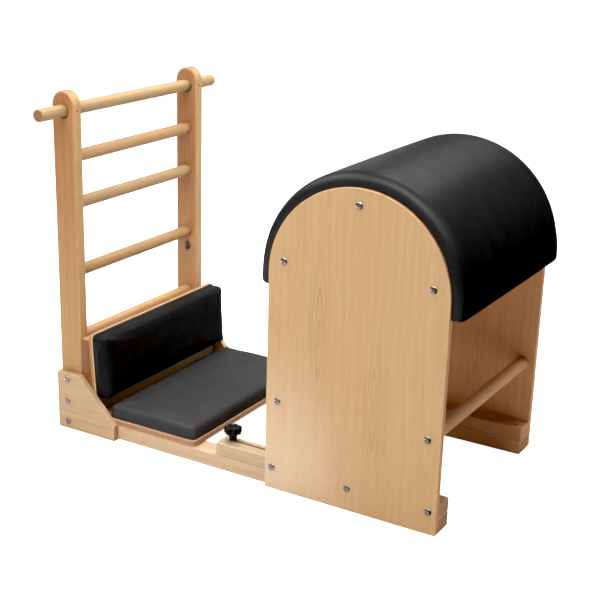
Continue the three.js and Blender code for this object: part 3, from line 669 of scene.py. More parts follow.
for i, (side, s) in enumerate(SIDES):
    y0, y1 = span(s, 250, 310)
    rail = ease(prism([(y0, 0), (y1, 0), (y1, RAIL_H), (y0, RAIL_H)], -970, 250, "YZ"), 4.2, 5)
    rail = cut(rail, [
        rod_cutter(4.45, 14, RAIL_H + 5, "Z", (CLAMP_X, s * SLOT_Y, 0)),
        rod_cutter(4.45, *span(s, 278, 315), "Y", (UP_X, 0, 24), 24),
    ])
    piece(rail, f"rail_{side}_wood", f"base_rail_{side}", "frame",
          solid_wood(f"beech_rail_{side}", "X", 11 + i, pith=(0.02, -0.05),
                     # painted light and shade: the near and far rails differ in tone and end colour only for how light
                     # falls on them; the far rail's redder tones paint the shade and orange bounce under the barrel
                     tones=((177, 143, 110), (193, 162, 130), (205, 181, 151)) if s < 0 else ((171, 121, 78), (186, 138, 93), (198, 154, 109)), contrast=0.8, tone_and_light_gain=(0.945, 0.965, 0.98) if s < 0 else None,
                     ends=((166, 114, 74), (192, 142, 100)) if s < 0 else ((157, 96, 56), (182, 120, 77))),
          end_axis=(1, 0, 0))

    # upright: through hole for the top rung, blind sockets for the others
    y0, y1 = span(s, 275, 310)
    outline = [(UP_X - 38, RAIL_H + GAP), (UP_X + 38, RAIL_H + GAP)] + arc(UP_X, ARC_Z, 38, 0, 180, 40)
    up = ease(prism(outline, y0, y1, "XZ"), 5.5, 6, angle=35)
    tools = []
    hole = [(0, y0 - 4), (20.6, y0 - 4), (20.0, y0), (19.6, y0 + 0.5), (19.6, y1 - 0.5), (20.0, y1), (20.6, y1 + 4), (0, y1 + 4)]
    tools.append(lathe(hole, 48, "Y", (UP_X + 1.3, 0, RUNG_Z[0] - 1.1)))
    inner, out = (y1, -1) if s < 0 else (y0, 1)
    for z in RUNG_Z[1:]:
        prof = [(0, inner - 4 * out), (19.2, inner - 4 * out), (18.5, inner), (17.75, inner + 0.8 * out), (17.75, inner + 22.6 * out), (0, inner + 22.6 * out)]
        tools.append(lathe(prof, 48, "Y", (UP_X, 0, z)))
    tools.append(rod_cutter(3.0, UP_X, UP_X + 43, "X", (0, s * 292.5, RUNG_Z[0]), 20))
    for z in (156, 89):
        tools.append(rod_cutter(4.45, *span(s, 278, 315), "Y", (UP_X, 0, z), 24))
    # a knot on the far upright's inner face, seen again round its corner
    knot = ((-0.5855, 0.2760, 0.4240), (-0.5565, 0.2830, 0.4370)) if s > 0 else None
    piece(cut(up, tools), f"upright_{side}_wood", f"ladder_upright_{side}", "frame",
          solid_wood(f"beech_upright_{side}", "Z", 21 + i, pith=(0.06, 0.035), knot=knot, contrast=0.6,
                     tones=((170, 115, 71), (184, 134, 88), (196, 152, 106)), ends=((176, 128, 84), (200, 154, 108)),
                     # gains of painted light and shade for this upright's foot, head and narrow sides
                     faces=((0.82, 0.93, 0.92), (0.78, 0.76, 0.68), (1.0, 1.20, 1.16)) if s < 0
                     else ((1.0, 1.06, 1.0), (0.77, 0.70, 0.67), (0.94, 1.14, 1.19))),
          end_axis=(0, 0, 1))

    # pin that locks the top rung
    pin = lathe([(0, -12), (1.6, -12), (2, -11.4), (2, 11.4), (1.5, 12), (0.9, 12), (0.7, 11.2), (0, 11.2)],
                20, "X", (UP_X + 38 - 12.6, s * 292.5, RUNG_Z[0]))
    piece(pin, f"pin_{side}", f"top_rung_pin_{side}", "frame", black_plastic(f"plastic_pin_{side}", 31 + i))

    # gusset over the upright's foot and the rail's end
    y0, y1 = span(s, 310.3, 330)
    g_out = [(-970, 0), (-762, 0), (-762, 45), (-887, 175), (-970, 175)]
    gus = ease(prism(g_out, y0, y1, "XZ"), 2.2, 3)
    gus = cut(gus, [rod_cutter(4.45, y0 - 4, y1 + 4, "Y", (UP_X, 0, z), 24) for z in (156, 89, 24)])
    piece(gus, f"gusset_{side}_wood", f"gusset_{side}", "frame",
          solid_wood(f"beech_gusset_{side}", "X", 41 + i, pith=(0.02, -0.12), ring=40,
                     tones=((177, 141, 102), (192, 159, 121), (204, 177, 140)), contrast=0.7, tone_and_light_gain=(0.89, 0.90, 0.90)),
          end_axis=(1, 0, 0))

# leaning frame of the back rest
LEAN = math.radians(3.27)
BACK = Matrix.Translation((-838.5, 0, 62.3)) @ Matrix.Rotation(-LEAN, 4, "Y")
BACK_INV = BACK.inverted()

for i, (side, s) in enumerate(SIDES):
    def back(z):
        return -838.5 - math.tan(LEAN) * (z - 61.3) - 12 / math.cos(LEAN) - 0.4

    w = [(-893.7, 61.6), (back(61.3), 61.6), (back(285), 285), (-893.7, 285)]
    cleat = ease(prism(w, *span(s, 275, 309.7), "XZ"), 1.4, 3)
    piece(cleat, f"cleat_{side}_wood", f"back_cleat_{side}", "frame",
          solid_wood(f"beech_cleat_{side}", "Z", 51 + i, tones=((103, 62, 21), (123, 76, 30), (145, 97, 43))),
          end_axis=(0, 0, 1))


# rungs
def dowel_profile(r, half, e):
    pts = [(0, -half)]
    for k in range(6):
        a = math.radians(90 * k / 5)
        pts.append((r - e + e * math.sin(a), -half + e - e * math.cos(a)))
    for k in range(6):
        a = math.radians(90 * k / 5)
        pts.append((r - e + e * math.cos(a), half - e + e * math.sin(a)))
    pts.append((0, half))
    return pts


# painted light and shade: a colour gain per rung, lifting the fifth rung that sits in the back board's shade and
# darkening the fourth
RUNG_LIGHT_GAIN = ((0.93, 1.0, 1.0), (1.0, 1.0, 1.0), (0.93, 1.0, 1.02), (0.90, 0.88, 0.80), (1.2, 1.18, 1.1))
for i, z in enumerate(RUNG_Z):
    top = i == 0
    bm = lathe(dowel_profile(RUNG_R, 411.5 if top else 297, 3.2 if top else 1.5), 64, "Y", (UP_X, 0, z))
    if top:
        bm = cut(bm, [rod_cutter(2.3, UP_X + 7, UP_X + 23, "X", (0, s * 292.5, z), 20) for _, s in SIDES])
    piece(bm, f"rung_{i + 1}_wood", "rung_1_top" if top else f"rung_{i + 1}", "frame",
          solid_wood(f"beech_rung_{i + 1}", "Y", 61 + i, pith=(0.03, 0.02), ring=70,
                     ends=((138, 90, 56), (160, 113, 77)), tone_and_light_gain=RUNG_LIGHT_GAIN[i],
                     tones=((157, 118, 76), (171, 135, 92), (183, 153, 110)), contrast=0.8),
          end_axis=(0, 1, 0), angle=40)

# seat board
seat = ease(prism(round_rect(-893.6, -309.7, -493.4, 309.7, [4, 17, 17, 4], 10), 43.3, 61.3, "XY"), 2.4, 4, angle=40)
piece(seat, "seat_board_ply", "seat_board", "frame", plywood("ply_seat", "Y", 71, layers=((116, 76, 52), (138, 96, 68), (172, 130, 98), (190, 148, 112))),
      end_side=(0, 0, 1), lay=lambda c: c.z - 43.3)

# back board, in the leaning frame
bb = ease(prism(round_rect(-309.7, 0, 309.7, 242, [3, 3, 14, 14], 10), -12, 0, "YZ"), 2.0, 4, angle=40)
transform(bb, BACK)
piece(bb, "back_board_ply", "back_board", "frame",
      # painted shade on the face under the pad, and a stronger painted highlight on the rounded edges
      plywood("ply_back", "Y", 72, edge_highlight=0.6, front=((106, 86, 66), (132, 110, 86)),
              layers=((118, 70, 38), (144, 92, 54), (176, 118, 70), (202, 142, 92))),
      end_side=tuple(BACK.to_3x3() @ Vector((1, 0, 0))), lay=lambda c: (BACK_INV @ c).x + 12)

# ------------------------------------------------------------------ barrel wood
ARCH = 606
PANEL_BOLTS = {
    "arch_top": (90, 208), "arch_left": (170.3, 208), "arch_right": (9.7, 208),
}
bolts = {n: (r * math.cos(math.radians(a)), ARCH + r * math.sin(math.radians(a)), 50) for n, (a, r) in PANEL_BOLTS.items()}
bolts.update({
    "mid_left": (-214.6, 258, 50), "mid_right": (214.6, 258, 50),
    "foot_left": (-228, 65, 44), "foot_middle": (0, 65, 44), "foot_right": (228, 65, 44),
})

for i, (side, s) in enumerate(SIDES):
    y0, y1 = span(s, 311, 329)
    outline = [(-250, 2), (250, 2)] + arc(0, ARCH, 250, 0, 180, 96)
    panel = ease(prism(outline, y0, y1, "XZ"), 1.9, 4, angle=40)
    panel = cut(panel, [rod_cutter(4.45, y0 - 4, y1 + 4, "Y", (x, 0, z), 24) for x, z, _ in bolts.values()])
    piece(panel, f"panel_{side}_laminate", f"side_panel_{side}", "barrel",
          laminate(f"laminate_{side}", "Z", 81 + i, tones=LAMINATE if s < 0 else LAMINATE_FAR_SHADED,
                   # painted light: the paler patch where the floor's bounce lights the near panel
                   bounce_light_at=(0.10, -0.329, 0.03) if s < 0 else None,
                   figure=(((0.405, 0, 0.30), 0.045, 0.21, 900.0), ((0.245, 0, 0.47), 0.040, 0.24, 820.0), ((0.30, 0, 0.13), 0.035, 0.12, 1000.0))), end_side=(0, 1, 0))

    # slider block with its slot, the slot's rims eased
    y0, y1 = span(s, 250.7, 310.7)
    block = ease(prism([(y0, 43.3), (y1, 43.3), (y1, 80), (y0, 80)], -421, 250, "YZ"), 3.8, 5)

    def slot_loop(grow):
        h = 5 + grow
        return arc(230 - 5, s * SLOT_Y, h, -90, 90, 16) + arc(-392.4 + 5, s * SLOT_Y, h, 90, 270, 16)

    tool = new_bm()
    loops = []
    for z, grow in ((82.0, 3.0), (79.0, 0.0), (44.3, 0.0), (41.3, 3.0)):
        loops.append([tool.verts.new((x, y, z)) for x, y in slot_loop(grow)])
    tool.faces.new(loops[0])
    tool.faces.new(loops[-1])
    for a, b in zip(loops, loops[1:]):
        for j in range(len(a)):
            k = (j + 1) % len(a)
            tool.faces.new((a[j], b[j], b[k], a[k]))
    bmesh.ops.recalc_face_normals(tool, faces=tool.faces)
    tools = [tool] + [
        rod_cutter(4.45, *span(s, 329.3 - 44.6, 316), "Y", (x, 0, 65), 24) for x in (-228, 0, 228)
    ]
    piece(cut(block, tools), f"block_{side}_wood", f"slider_block_{side}", "barrel",
          solid_wood(f"beech_block_{side}", "X", 91 + i, pith=(0.03, -0.06),
                     # painted light and shade: the near and far blocks differ in tone and end colour only for how light
                     # falls on them; the far block's redder tones paint the shade and orange bounce under the barrel
                     tones=((164, 135, 104), (178, 153, 123), (193, 174, 145)) if s < 0 else ((170, 117, 80), (185, 133, 95), (200, 151, 113)), contrast=0.8, tone_and_light_gain=(0.975, 0.98, 0.955) if s < 0 else None,
                     ends=((162, 116, 82), (188, 148, 112)) if s < 0 else ((166, 114, 74), (192, 142, 100))),
          end_axis=(1, 0, 0))

# stretchers
for i, (n, x) in enumerate((("left", -214.6), ("right", 214.6))):
    bm = lathe(dowel_profile(18.5, 310.7, 1.5), 64, "Y", (x, 0, 258))
    bm = cut(bm, [rod_cutter(4.45, *span(s, 329.3 - 51, 316), "Y", (x, 0, 258), 24) for _, s in SIDES])
    piece(bm, f"stretcher_{n}_wood", f"stretcher_{n}", "barrel",
          solid_wood(f"beech_stretcher_{n}", "Y", 101 + i, ring=70,
                     tones=((167, 113, 68), (182, 130, 82), (195, 145, 96)), contrast=0.8),
          end_axis=(0, 1, 0), angle=40)

# formers under the shell
for i, (n, deg) in enumerate((("top", 90), ("left", 170.3), ("right", 9.7))):
    a = math.radians(deg)
    bm = ease(prism([(169, -18), (249, -18), (249, 18), (169, 18)], -310.7, 310.7, "XZ"), 2.0, 3)
    transform(bm, Matrix.Translation((0, 0, ARCH)) @ Matrix.Rotation(-a, 4, "Y"))
    bm = cut(bm, [rod_cutter(4.45, *span(s, 329.3 - 51, 316), "Y",
                             (208 * math.cos(a), 0, ARCH + 208 * math.sin(a)), 24) for _, s in SIDES])
    piece(bm, f"former_{n}_wood", f"arch_former_{n}", "barrel",
          solid_wood(f"beech_former_{n}", "Y", 111 + i), end_axis=(0, 1, 0))


def arch_stations(foot, leg=4, turn=72):
    """(centre z, angle) from the left leg's foot over the arch to the right."""
    out = [(foot + (ARCH - foot) * k / leg, math.pi) for k in range(leg)]
    out += [(ARCH, math.pi * (1 - k / turn)) for k in range(turn + 1)]
    out += [(ARCH - (ARCH - foot) * (k + 1) / leg, 0.0) for k in range(leg)]
    return out


def on_arch(station, r, y):
    z, a = station
    return (r * math.cos(a), y, z + r * math.sin(a))


# bent plywood shell
bm = new_bm()
loop = [(-318, 251.6), (-317.2, 250.8), (317.2, 250.8), (318, 251.6), (318, 255.8), (317.2, 256.6), (-317.2, 256.6), (-318, 255.8)]
st = arch_stations(573, 2, 72)
rings = [[bm.verts.new(on_arch(p, r, y)) for y, r in loop] for p in st]
for a, b in zip(rings, rings[1:]):
    for j in range(len(loop)):
        k = (j + 1) % len(loop)
        bm.faces.new((a[j], b[j], b[k], a[k]))
bm.faces.new(rings[0])
bm.faces.new(rings[-1])
bmesh.ops.recalc_face_normals(bm, faces=bm.faces)
depth = {}
lay_shell = {tuple(round(c, 3) for c in v.co): loop[j][1] - 250.8 for ring in rings for j, v in enumerate(ring)}
piece(bm, "shell_ply", "barrel_shell", "barrel", plywood("ply_shell", "Y", 121, ply=2.9),
      lay=lambda c: lay_shell[tuple(round(x, 3) for x in c)], end_side=None, angle=40)

# ------------------------------------------------------------------ hardware
def bolt_bm(length):
    """Dome-head bolt with a hex socket; the head's underside is at h = 0, the
    head stands on +h and the shank on -h."""
    n = 48
    prof = [(0, -length), (3.3, -length), (4.0, -length + 0.8), (4.0, -0.25), (4.25, 0), (9.9, 0), (10.2, 0.3), (10.2, 0.9)]
    for k in range(1, 11):
        t = math.radians(76 * k / 10)
        prof.append((10.2 * math.cos(t) ** 0.9, 0.9 + 5.1 * math.sin(t)))
    hex_from = len(prof)
    prof += [(2.95, 5.75), (2.8, 5.3), (2.8, 2.6), (2.4, 2.4), (0, 1.9)]

    def shape(r, h, i, a):
        if i < hex_from:
            return r
        turn = (math.degrees(a) + 30) % 60 - 30
        full = r / math.cos(math.radians(turn))
        return full if i > hex_from else 0.5 * (r + full)

    return lathe(prof, n, "Y", (0, 0, 0), shape=shape)


def place_bolt(name, node, body, length, s, face, x, z, turn, material):
    bm = bolt_bm(length)
    spin = Matrix.Rotation(math.radians(turn), 4, "Y")
    flip = Matrix.Rotation(math.pi, 4, "Z") if s < 0 else Matrix.Identity(4)
    transform(bm, Matrix.Translation((x, s * (face + GAP), z)) @ flip @ spin)
    piece(bm, name, node, body, material, angle=32, weighted=False)


steel = bright_steel("plated_steel", 7)
turns = random.Random(5)
for side, s in SIDES:
    for n, z in (("upper", 156), ("middle", 89), ("lower", 24)):
        place_bolt(f"bolt_gusset_{side}_{n}", f"gusset_bolt_{side}_{n}", "frame", 50, s, 330, UP_X, z, turns.uniform(0, 60), steel)
    for n, (x, z, length) in bolts.items():
        place_bolt(f"bolt_panel_{side}_{n}", f"panel_bolt_{side}_{n}", "barrel", length, s, 329, x, z, turns.uniform(0, 60), steel)

knob_plastic = black_plastic("plastic_knob", 8)
for side, s in SIDES:
    at = (CLAMP_X, s * SLOT_Y, 0)
    # stud with its thread as fine ridges
    prof = [(0, 15), (3.3, 15), (3.9, 15.8)]
    z = 16.4
    while z < 106.6:
        prof += [(3.95, z), (3.95, z + 0.16), (3.45, z + 0.62), (3.45, z + 0.78)]
        z += 1.25
    prof += [(3.9, 107.2), (3.3, 108), (0, 108)]
    piece(lathe(prof, 24, "Z", at), f"stud_{side}", f"clamp_stud_{side}", "frame", steel, angle=28, weighted=False)
    # washer
    w = [(4.7, 80.5), (4.9, 80.3), (12.2, 80.3), (12.5, 80.55), (12.5, 81.8), (12.2, 82.1), (4.9, 82.1), (4.7, 81.9)]
    piece(lathe(w, 56, "Z", at, closed=True), f"washer_{side}", f"clamp_washer_{side}", f"{side}_clamp_washer", steel, angle=40)
    # knob: bore, stem, lobed head with a sunk cap
    z0 = 82.4
    kp = [(0, 110.4, 0), (4.45, 110.4, 0), (4.45, z0 + 0.5, 0), (4.9, z0, 0), (9.4, z0, 0), (10.1, z0 + 0.3, 0), (10.4, z0 + 1, 0),
          (10.8, z0 + 6, 0), (12.0, z0 + 10, 0), (13.2, z0 + 14, 0), (14.4, z0 + 18.2, 0), (14.8, z0 + 19.4, 0), (15.4, z0 + 20.1, 0), (16.2, z0 + 20.5, 0), (18.9, z0 + 20.5, 0.4),
          (23.4, z0 + 20.6, 1), (24.5, z0 + 21.0, 1), (25, z0 + 22.0, 1), (25, z0 + 28.0, 1),
          (25, z0 + 34.6, 1), (24.8, z0 + 36.0, 1), (24.2, z0 + 37.1, 1), (23.2, z0 + 37.8, 0.97), (21.6, z0 + 38, 0.9),
          (15, z0 + 37.8, 0.35), (11.6, z0 + 37.6, 0.05), (11.2, z0 + 37.3, 0), (10.9, z0 + 36.5, 0), (10.5, z0 + 36.4, 0), (0, z0 + 36.7, 0)]

    def lobes(r, h, i, a, kp=kp):
        return r - kp[i][2] * 6.3 * (1 - abs(math.cos(3.5 * a)) ** 0.8)

    bm = lathe([(r, h) for r, h, _ in kp], 168, "Z", at, shape=lobes)
    piece(bm, f"knob_{side}", f"clamp_knob_{side}", f"{side}_clamp_knob", knob_plastic, angle=46, weighted=False)


# ------------------------------------------------------------------ upholstery
def inflate(ob, pinned, cap, lift=1.0, pressure=4.0, frames=20):
    """Swells the vinyl by cloth simulation, holding the pinned points, and caps
    how far each point may move, lift times as far in z. Distances in metres."""
    n = len(ob.data.vertices)
    rest = np.zeros(n * 3, np.float32)
    ob.data.vertices.foreach_get("co", rest)
    rest = rest.reshape(-1, 3)
    group = ob.vertex_groups.new(name="pin")
    for i, w in enumerate(pinned):
        if w > 0:
            group.add([i], float(w), "REPLACE")
    mod = ob.modifiers.new("cloth", "CLOTH")
    c = mod.settings
    c.quality = 6
    c.mass = 0.35
    c.tension_stiffness = c.compression_stiffness = 25
    c.shear_stiffness = 12
    c.bending_stiffness = 2.0
    c.use_pressure = True
    c.uniform_pressure_force = pressure
    c.vertex_group_mass = "pin"
    c.effector_weights.gravity = 0
    mod.collision_settings.use_collision = False
    mod.point_cache.frame_start, mod.point_cache.frame_end = 1, frames
    for f in range(1, frames + 1):
        scene.frame_set(f)
    dg = bpy.context.evaluated_depsgraph_get()
    me = bpy.data.meshes.new_from_object(ob.evaluated_get(dg))
    now = np.zeros(n * 3, np.float32)
    me.vertices.foreach_get("co", now)
    now = now.reshape(-1, 3)
    bpy.data.meshes.remove(me)
    ob.modifiers.clear()
    ob.vertex_groups.clear()
    scene.frame_set(1)
    d = now - rest
    limit = np.array((cap, cap, cap * lift), np.float32)
    length = np.linalg.norm(d / limit, axis=1, keepdims=True)
    d *= np.where(length > 1e-6, np.tanh(length) / np.maximum(length, 1e-6), 0)
    moved = rest + d
    ob.data.vertices.foreach_set("co", moved.astype(np.float32).ravel())
    ob.data.update()
    print(ob.name, "swelled by", round(float(np.linalg.norm(d, axis=1).max()) * 1000, 2), "mm at most")
    return ob


def pad_box(hx, hy, hz, rx, ry, rt, rb, step):
    """Closed quad box about the origin, from -h to h, edges rounded: rx, ry in
    plan, rt on the top (+z), rb on the underside. Returns verts and quads."""

    def ticks(h, r):
        inner = h - r
        k = max(2, int(round(2 * inner / step)))
        e = 5
        lo = [-h + r * j / e for j in range(e)]
        mid = [-inner + 2 * inner * j / k for j in range(k + 1)]
        return lo + mid + [-x for x in reversed(lo)]

    def ticks_z():
        e = 5
        lo = [-hz + rb * j / 3 for j in range(3)]
        a, b = -hz + rb, hz - rt
        k = max(1, int(round((b - a) / step)))
        mid = [a + (b - a) * j / k for j in range(k + 1)]
        hi = [hz - rt + rt * (j + 1) / e for j in range(e)]
        return lo + mid + hi

    xs, ys, zs = ticks(hx, rx), ticks(hy, ry), ticks_z()
    nx, ny, nz = len(xs), len(ys), len(zs)
    index, verts, faces = {}, [], []

    def vert(i, j, k):
        key = (i, j, k)
        if key in index:
            return index[key]
        x, y, z = xs[i], ys[j], zs[k]
        rz = rt if z > (-hz + rb) else rb
        qx = max(-(hx - rx), min(hx - rx, x))
        qy = max(-(hy - ry), min(hy - ry, y))
        qz = max(-hz + rb, min(hz - rt, z))
        d = Vector(((x - qx) / rx, (y - qy) / ry, (z - qz) / rz))
        if d.length > 1e-9:
            # cube to sphere, so the corner has even quads
            m = max(abs(c) for c in d)
            d = d.normalized() * m
        p = (qx + d.x * rx, qy + d.y * ry, qz + d.z * rz)
        index[key] = len(verts)
        verts.append(p)
        return index[key]

    for i in range(nx - 1):
        for j in range(ny - 1):
            faces.append([vert(i, j, 0), vert(i, j + 1, 0), vert(i + 1, j + 1, 0), vert(i + 1, j, 0)])
            faces.append([vert(i, j, nz - 1), vert(i + 1, j, nz - 1), vert(i + 1, j + 1, nz - 1), vert(i, j + 1, nz - 1)])
    for i in range(nx - 1):
        for k in range(nz - 1):
            faces.append([vert(i, 0, k), vert(i + 1, 0, k), vert(i + 1, 0, k + 1), vert(i, 0, k + 1)])
            faces.append([vert(i, ny - 1, k), vert(i, ny - 1, k + 1), vert(i + 1, ny - 1, k + 1), vert(i + 1, ny - 1, k)])
    for j in range(ny - 1):
        for k in range(nz - 1):
            faces.append([vert(0, j, k), vert(0, j, k + 1), vert(0, j + 1, k + 1), vert(0, j + 1, k)])
            faces.append([vert(nx - 1, j, k), vert(nx - 1, j + 1, k), vert(nx - 1, j + 1, k + 1), vert(nx - 1, j, k + 1)])
    return verts, faces


def box_pad(name, node, size, centre, radii, place, cap, lift, tuck, seed, *finish):
    """A foam pad under vinyl on a board. size is full x, y, z before swelling;
    place carries it from its own frame to the drawing frame."""
    hx, hy, hz = (c / 2 for c in size)
    verts, faces = pad_box(hx, hy, hz, *radii, step=9)
    me = bpy.data.meshes.new(name)
    me.from_pydata([(x / 1000, y / 1000, z / 1000) for x, y, z in verts], [], faces)
    me.update()
    ob = bpy.data.objects.new(name, me)
    scene.collection.objects.link(ob)
    pinned = []
    for x, y, z in verts:
        up = (z + hz) / 8.0
        pinned.append(1.0 if up < 0.5 else max(0.0, 1.0 - (up - 0.5)) * 0.6)
    inflate(ob, pinned, cap, lift)
    co = np.zeros(len(me.vertices) * 3, np.float32)
    ob.data.vertices.foreach_get("co", co)
    co = co.reshape(-1, 3) * 1000
    me2 = bpy.data.meshes.new(name)
    me2.from_pydata([tuple(map(float, c)) for c in co], [], faces)
    me2.update()
    ob.data = me2
    mod = ob.modifiers.new("sub", "SUBSURF")
    mod.levels = mod.render_levels = 1
    baked(ob)
    me2 = ob.data
    n = len(me2.vertices)
    co = np.zeros(n * 3, np.float32)
    nr = np.zeros(n * 3, np.float32)
    me2.vertices.foreach_get("co", co)
    me2.vertices.foreach_get("normal", nr)
    co, nr = co.reshape(-1, 3), nr.reshape(-1, 3)
    # tucks: the vinyl gathers in small folds down each corner, fading upwards
    for cx in (-1, 1):
        for cy in (-1, 1):
            ox, oy = cx * (hx - radii[0]), cy * (hy - radii[1])
            dx, dy = (co[:, 0] - ox) * cx, (co[:, 1] - oy) * cy
            a = np.degrees(np.arctan2(dy, dx))
            near = np.clip(1 - (hz - co[:, 2]) / (2 * hz), 0, 1)
            fade = np.clip(1.05 - near, 0, 1) ** 0.8 * np.clip((hz * 0.97 - co[:, 2]) / (hz * 0.5), 0, 1)
            reach = np.clip((np.hypot(dx, dy) - radii[0] * 0.35) / (radii[0] * 0.4), 0, 1)
            fold = np.zeros(n)
            for at, width, deep in ((24, 5, 1.0), (45, 6, 0.8), (66, 5, 1.0)):
                fold += deep * np.exp(-(((a - at) / width) ** 2))
            mask = (dx > 0) & (dy > 0)
            co[mask] -= (nr * (fold * fade * reach * tuck)[:, None])[mask]
    # slow unevenness of the foam
    r = random.Random(seed)
    for _ in range(7):
        kx, ky = r.uniform(-1, 1) * 0.03, r.uniform(-1, 1) * 0.03
        ph = r.uniform(0, 6.28)
        co[:, 2] += 0.16 * np.sin(co[:, 0] * kx + co[:, 1] * ky + ph) * np.clip((co[:, 2] + hz) / hz, 0, 1)
    me2.vertices.foreach_set("co", co.astype(np.float32).ravel())
    me2.update()
    bm = bmesh.new()
    bm.from_mesh(me2)
    bm.faces.layers.float.new("edge")
    bmesh.ops.recalc_face_normals(bm, faces=bm.faces)
    transform(bm, place @ Matrix.Translation(centre))
    bpy.data.objects.remove(ob)
    out = piece(bm, name, node, "frame", vinyl(f"{name}_vinyl", seed, *finish), angle=None, weighted=False)
    return out


# seat pad: x -801..-494, y +-309.2, z 61.6..102.6
box_pad("seat_pad_vinyl", "seat_pad", (305.2, 614.4, 39.2), (-647.0, 0, 61.7 + 19.6),
        # the seat's vinyl is given a lighter tone than the other pads: painted light on its top
        (19, 19, 24, 3.5), Matrix.Identity(4), 0.0028, 2.5, 0.9, 3, 0.62, 0.83, ((27, 27, 28), (33, 33, 33)))

# back pad: leaning frame, local z 46..240, y +-309.2, x 0.3..50. Its own frame has
# z out of the board, so it is turned before it is placed.
TURN = Matrix(((0, 0, 1, 0), (0, 1, 0, 0), (-1, 0, 0, 0), (0, 0, 0, 1)))
box_pad("back_pad_vinyl", "back_pad", (194.5, 614.4, 46.0), (-142.2, 0, 0.4 + 23.0),
        (17, 17, 18, 3.5), BACK @ TURN, 0.0040, 1.3, 0.35, 4, 0.46, 0.2)


# barrel pad: its section, rolled over both edges, swept round the arch. The roll
# is round over the arch and squarer towards both feet.
def barrel_pad():
    foot = 570.5
    half = 322.0
    roll_y, roll_r = 41.0, 34.5
    st = [(foot + d, math.pi) for d in (0, 0.8, 2.0, 4.2, 7.4, 11.0, 16.0, 22.0, 29.0)]
    legs = len(st)
    turn = 84
    st += [(ARCH, math.pi * (1 - k / turn)) for k in range(turn + 1)]
    st += [(z, 0.0) for z, _ in reversed(st[:legs])]
    side, mid = 11, 44
    y_in = half - roll_y
    inner = [(half, -2.2), (318.6, -2.2), (318.6, 4.0)]
    inner += [(318.6 - 637.2 * k / 40, 4.0) for k in range(1, 41)]
    inner += [(-318.6, -2.2), (-half, -2.2)]

    def outline(power, end):
        """The outer skin's (y, height) for a roll of a given squareness."""
        roll = []
        for k in range(side):
            a = math.radians(90 * k / (side - 1))
            c, q = max(0.0, math.cos(a)), math.sin(a)
            roll.append((y_in + (end - y_in) * c ** (2 / power), roll_r * q ** (2 / power)))
        flat = [(-y_in + 2 * y_in * k / mid, roll_r) for k in range(1, mid)]
        return [(-y, h) for y, h in roll] + flat + list(reversed(roll))

    outer = outline(2.3, half)
    verts, faces, pin = [], [], []
    n = len(outer) + len(inner)
    for i, (z, a) in enumerate(st):
        j = min(i, len(st) - 1 - i)
        if z < ARCH:
            d = z - foot
        else:
            d = ARCH - foot + 270 * min(a, math.pi - a)
        blend = min(1.0, d / 98)
        blend = blend * blend * (3 - 2 * blend)
        drop = 1.0
        if d < 11:
            drop = 0.74 + 0.26 * math.sqrt(max(0.0, 1 - (1 - d / 11) ** 2))
        end = half
        if d < 4.5:
            end = half - 2.4 * (1 - math.sqrt(max(0.0, 1 - (1 - d / 4.5) ** 2)))
        outer = outline(2.3 + ((5.0 if a < 1.5 else 2.5) - 2.3) * (1 - blend), end)
        for y, h in outer:
            u = max(0.0, 1 - abs(y) / y_in)
            crown = 0.9 * (1 - (1 - u) ** 2) if abs(y) < y_in else 0.0
            r = 253 + (h + (crown - 1.7) * (h / roll_r)) * drop
            verts.append(on_arch((z, a), r, y))
            pin.append(1.0 if h < 3 else (0.5 if j < 3 else 0.0))
        for y, h in inner:
            verts.append(on_arch((z, a), 253 + h, min(end, max(-end, y))))
            pin.append(1.0)
    for i in range(len(st) - 1):
        for j in range(n):
            k = (j + 1) % n
            faces.append((i * n + j, (i + 1) * n + j, (i + 1) * n + k, i * n + k))
    # flat feet, filled with quads between the outer and inner rows
    for base, flip in ((0, False), ((len(st) - 1) * n, True)):
        o = [base + j for j in range(len(outer))]
        q = [base + len(outer) + j for j in range(len(inner))]
        q.reverse()
        a, b = 0, 0
        while a < len(o) - 1 or b < len(q) - 1:
            ya = verts[o[min(a + 1, len(o) - 1)]][1]
            yb = verts[q[min(b + 1, len(q) - 1)]][1]
            if b >= len(q) - 1 or (a < len(o) - 1 and ya <= yb):
                f = (o[a], o[a + 1], q[b])
                a += 1
            else:
                f = (o[a], q[b + 1], q[b])
                b += 1
            faces.append(tuple(reversed(f)) if flip else f)
    me = bpy.data.meshes.new("barrel_pad_vinyl")
    me.from_pydata([(x / 1000, y / 1000, z / 1000) for x, y, z in verts], [], faces)
    me.update()
    bm = bmesh.new()
    bm.from_mesh(me)
    bmesh.ops.recalc_face_normals(bm, faces=bm.faces)
    bm.to_mesh(me)
    bm.free()
    ob = bpy.data.objects.new("barrel_pad_vinyl", me)
    scene.collection.objects.link(ob)
    inflate(ob, pin, 0.0024, pressure=3.0)
    mod = ob.modifiers.new("sub", "SUBSURF")
    mod.levels = mod.render_levels = 1
    mod.boundary_smooth = "PRESERVE_CORNERS"
    baked(ob)
    bm = bmesh.new()
    bm.from_mesh(ob.data)
    bm.faces.layers.float.new("edge")
    bpy.data.objects.remove(ob)
    transform(bm, Matrix.Diagonal((1000, 1000, 1000, 1)))
    # the barrel's vinyl is given a darker tone than the other pads: painted shade on its dark sides
    out = piece(bm, "barrel_pad_vinyl", "barrel_pad", "barrel", vinyl("barrel_vinyl", 9, base=((17, 17, 18), (24, 24, 24))),
                angle=None, weighted=False)


barrel_pad()

# ------------------------------------------------------------------ stage
F = 40.0


def stage_plane(name, z):
    me = bpy.data.meshes.new(name)
    me.from_pydata([(-F, -F, 0), (F, -F, 0), (F, F, 0), (-F, F, 0)], [], [(0, 1, 2, 3)])
    ob = bpy.data.objects.new(name, me)
    ob.location.z = z
    scene.collection.objects.link(ob)
    return ob


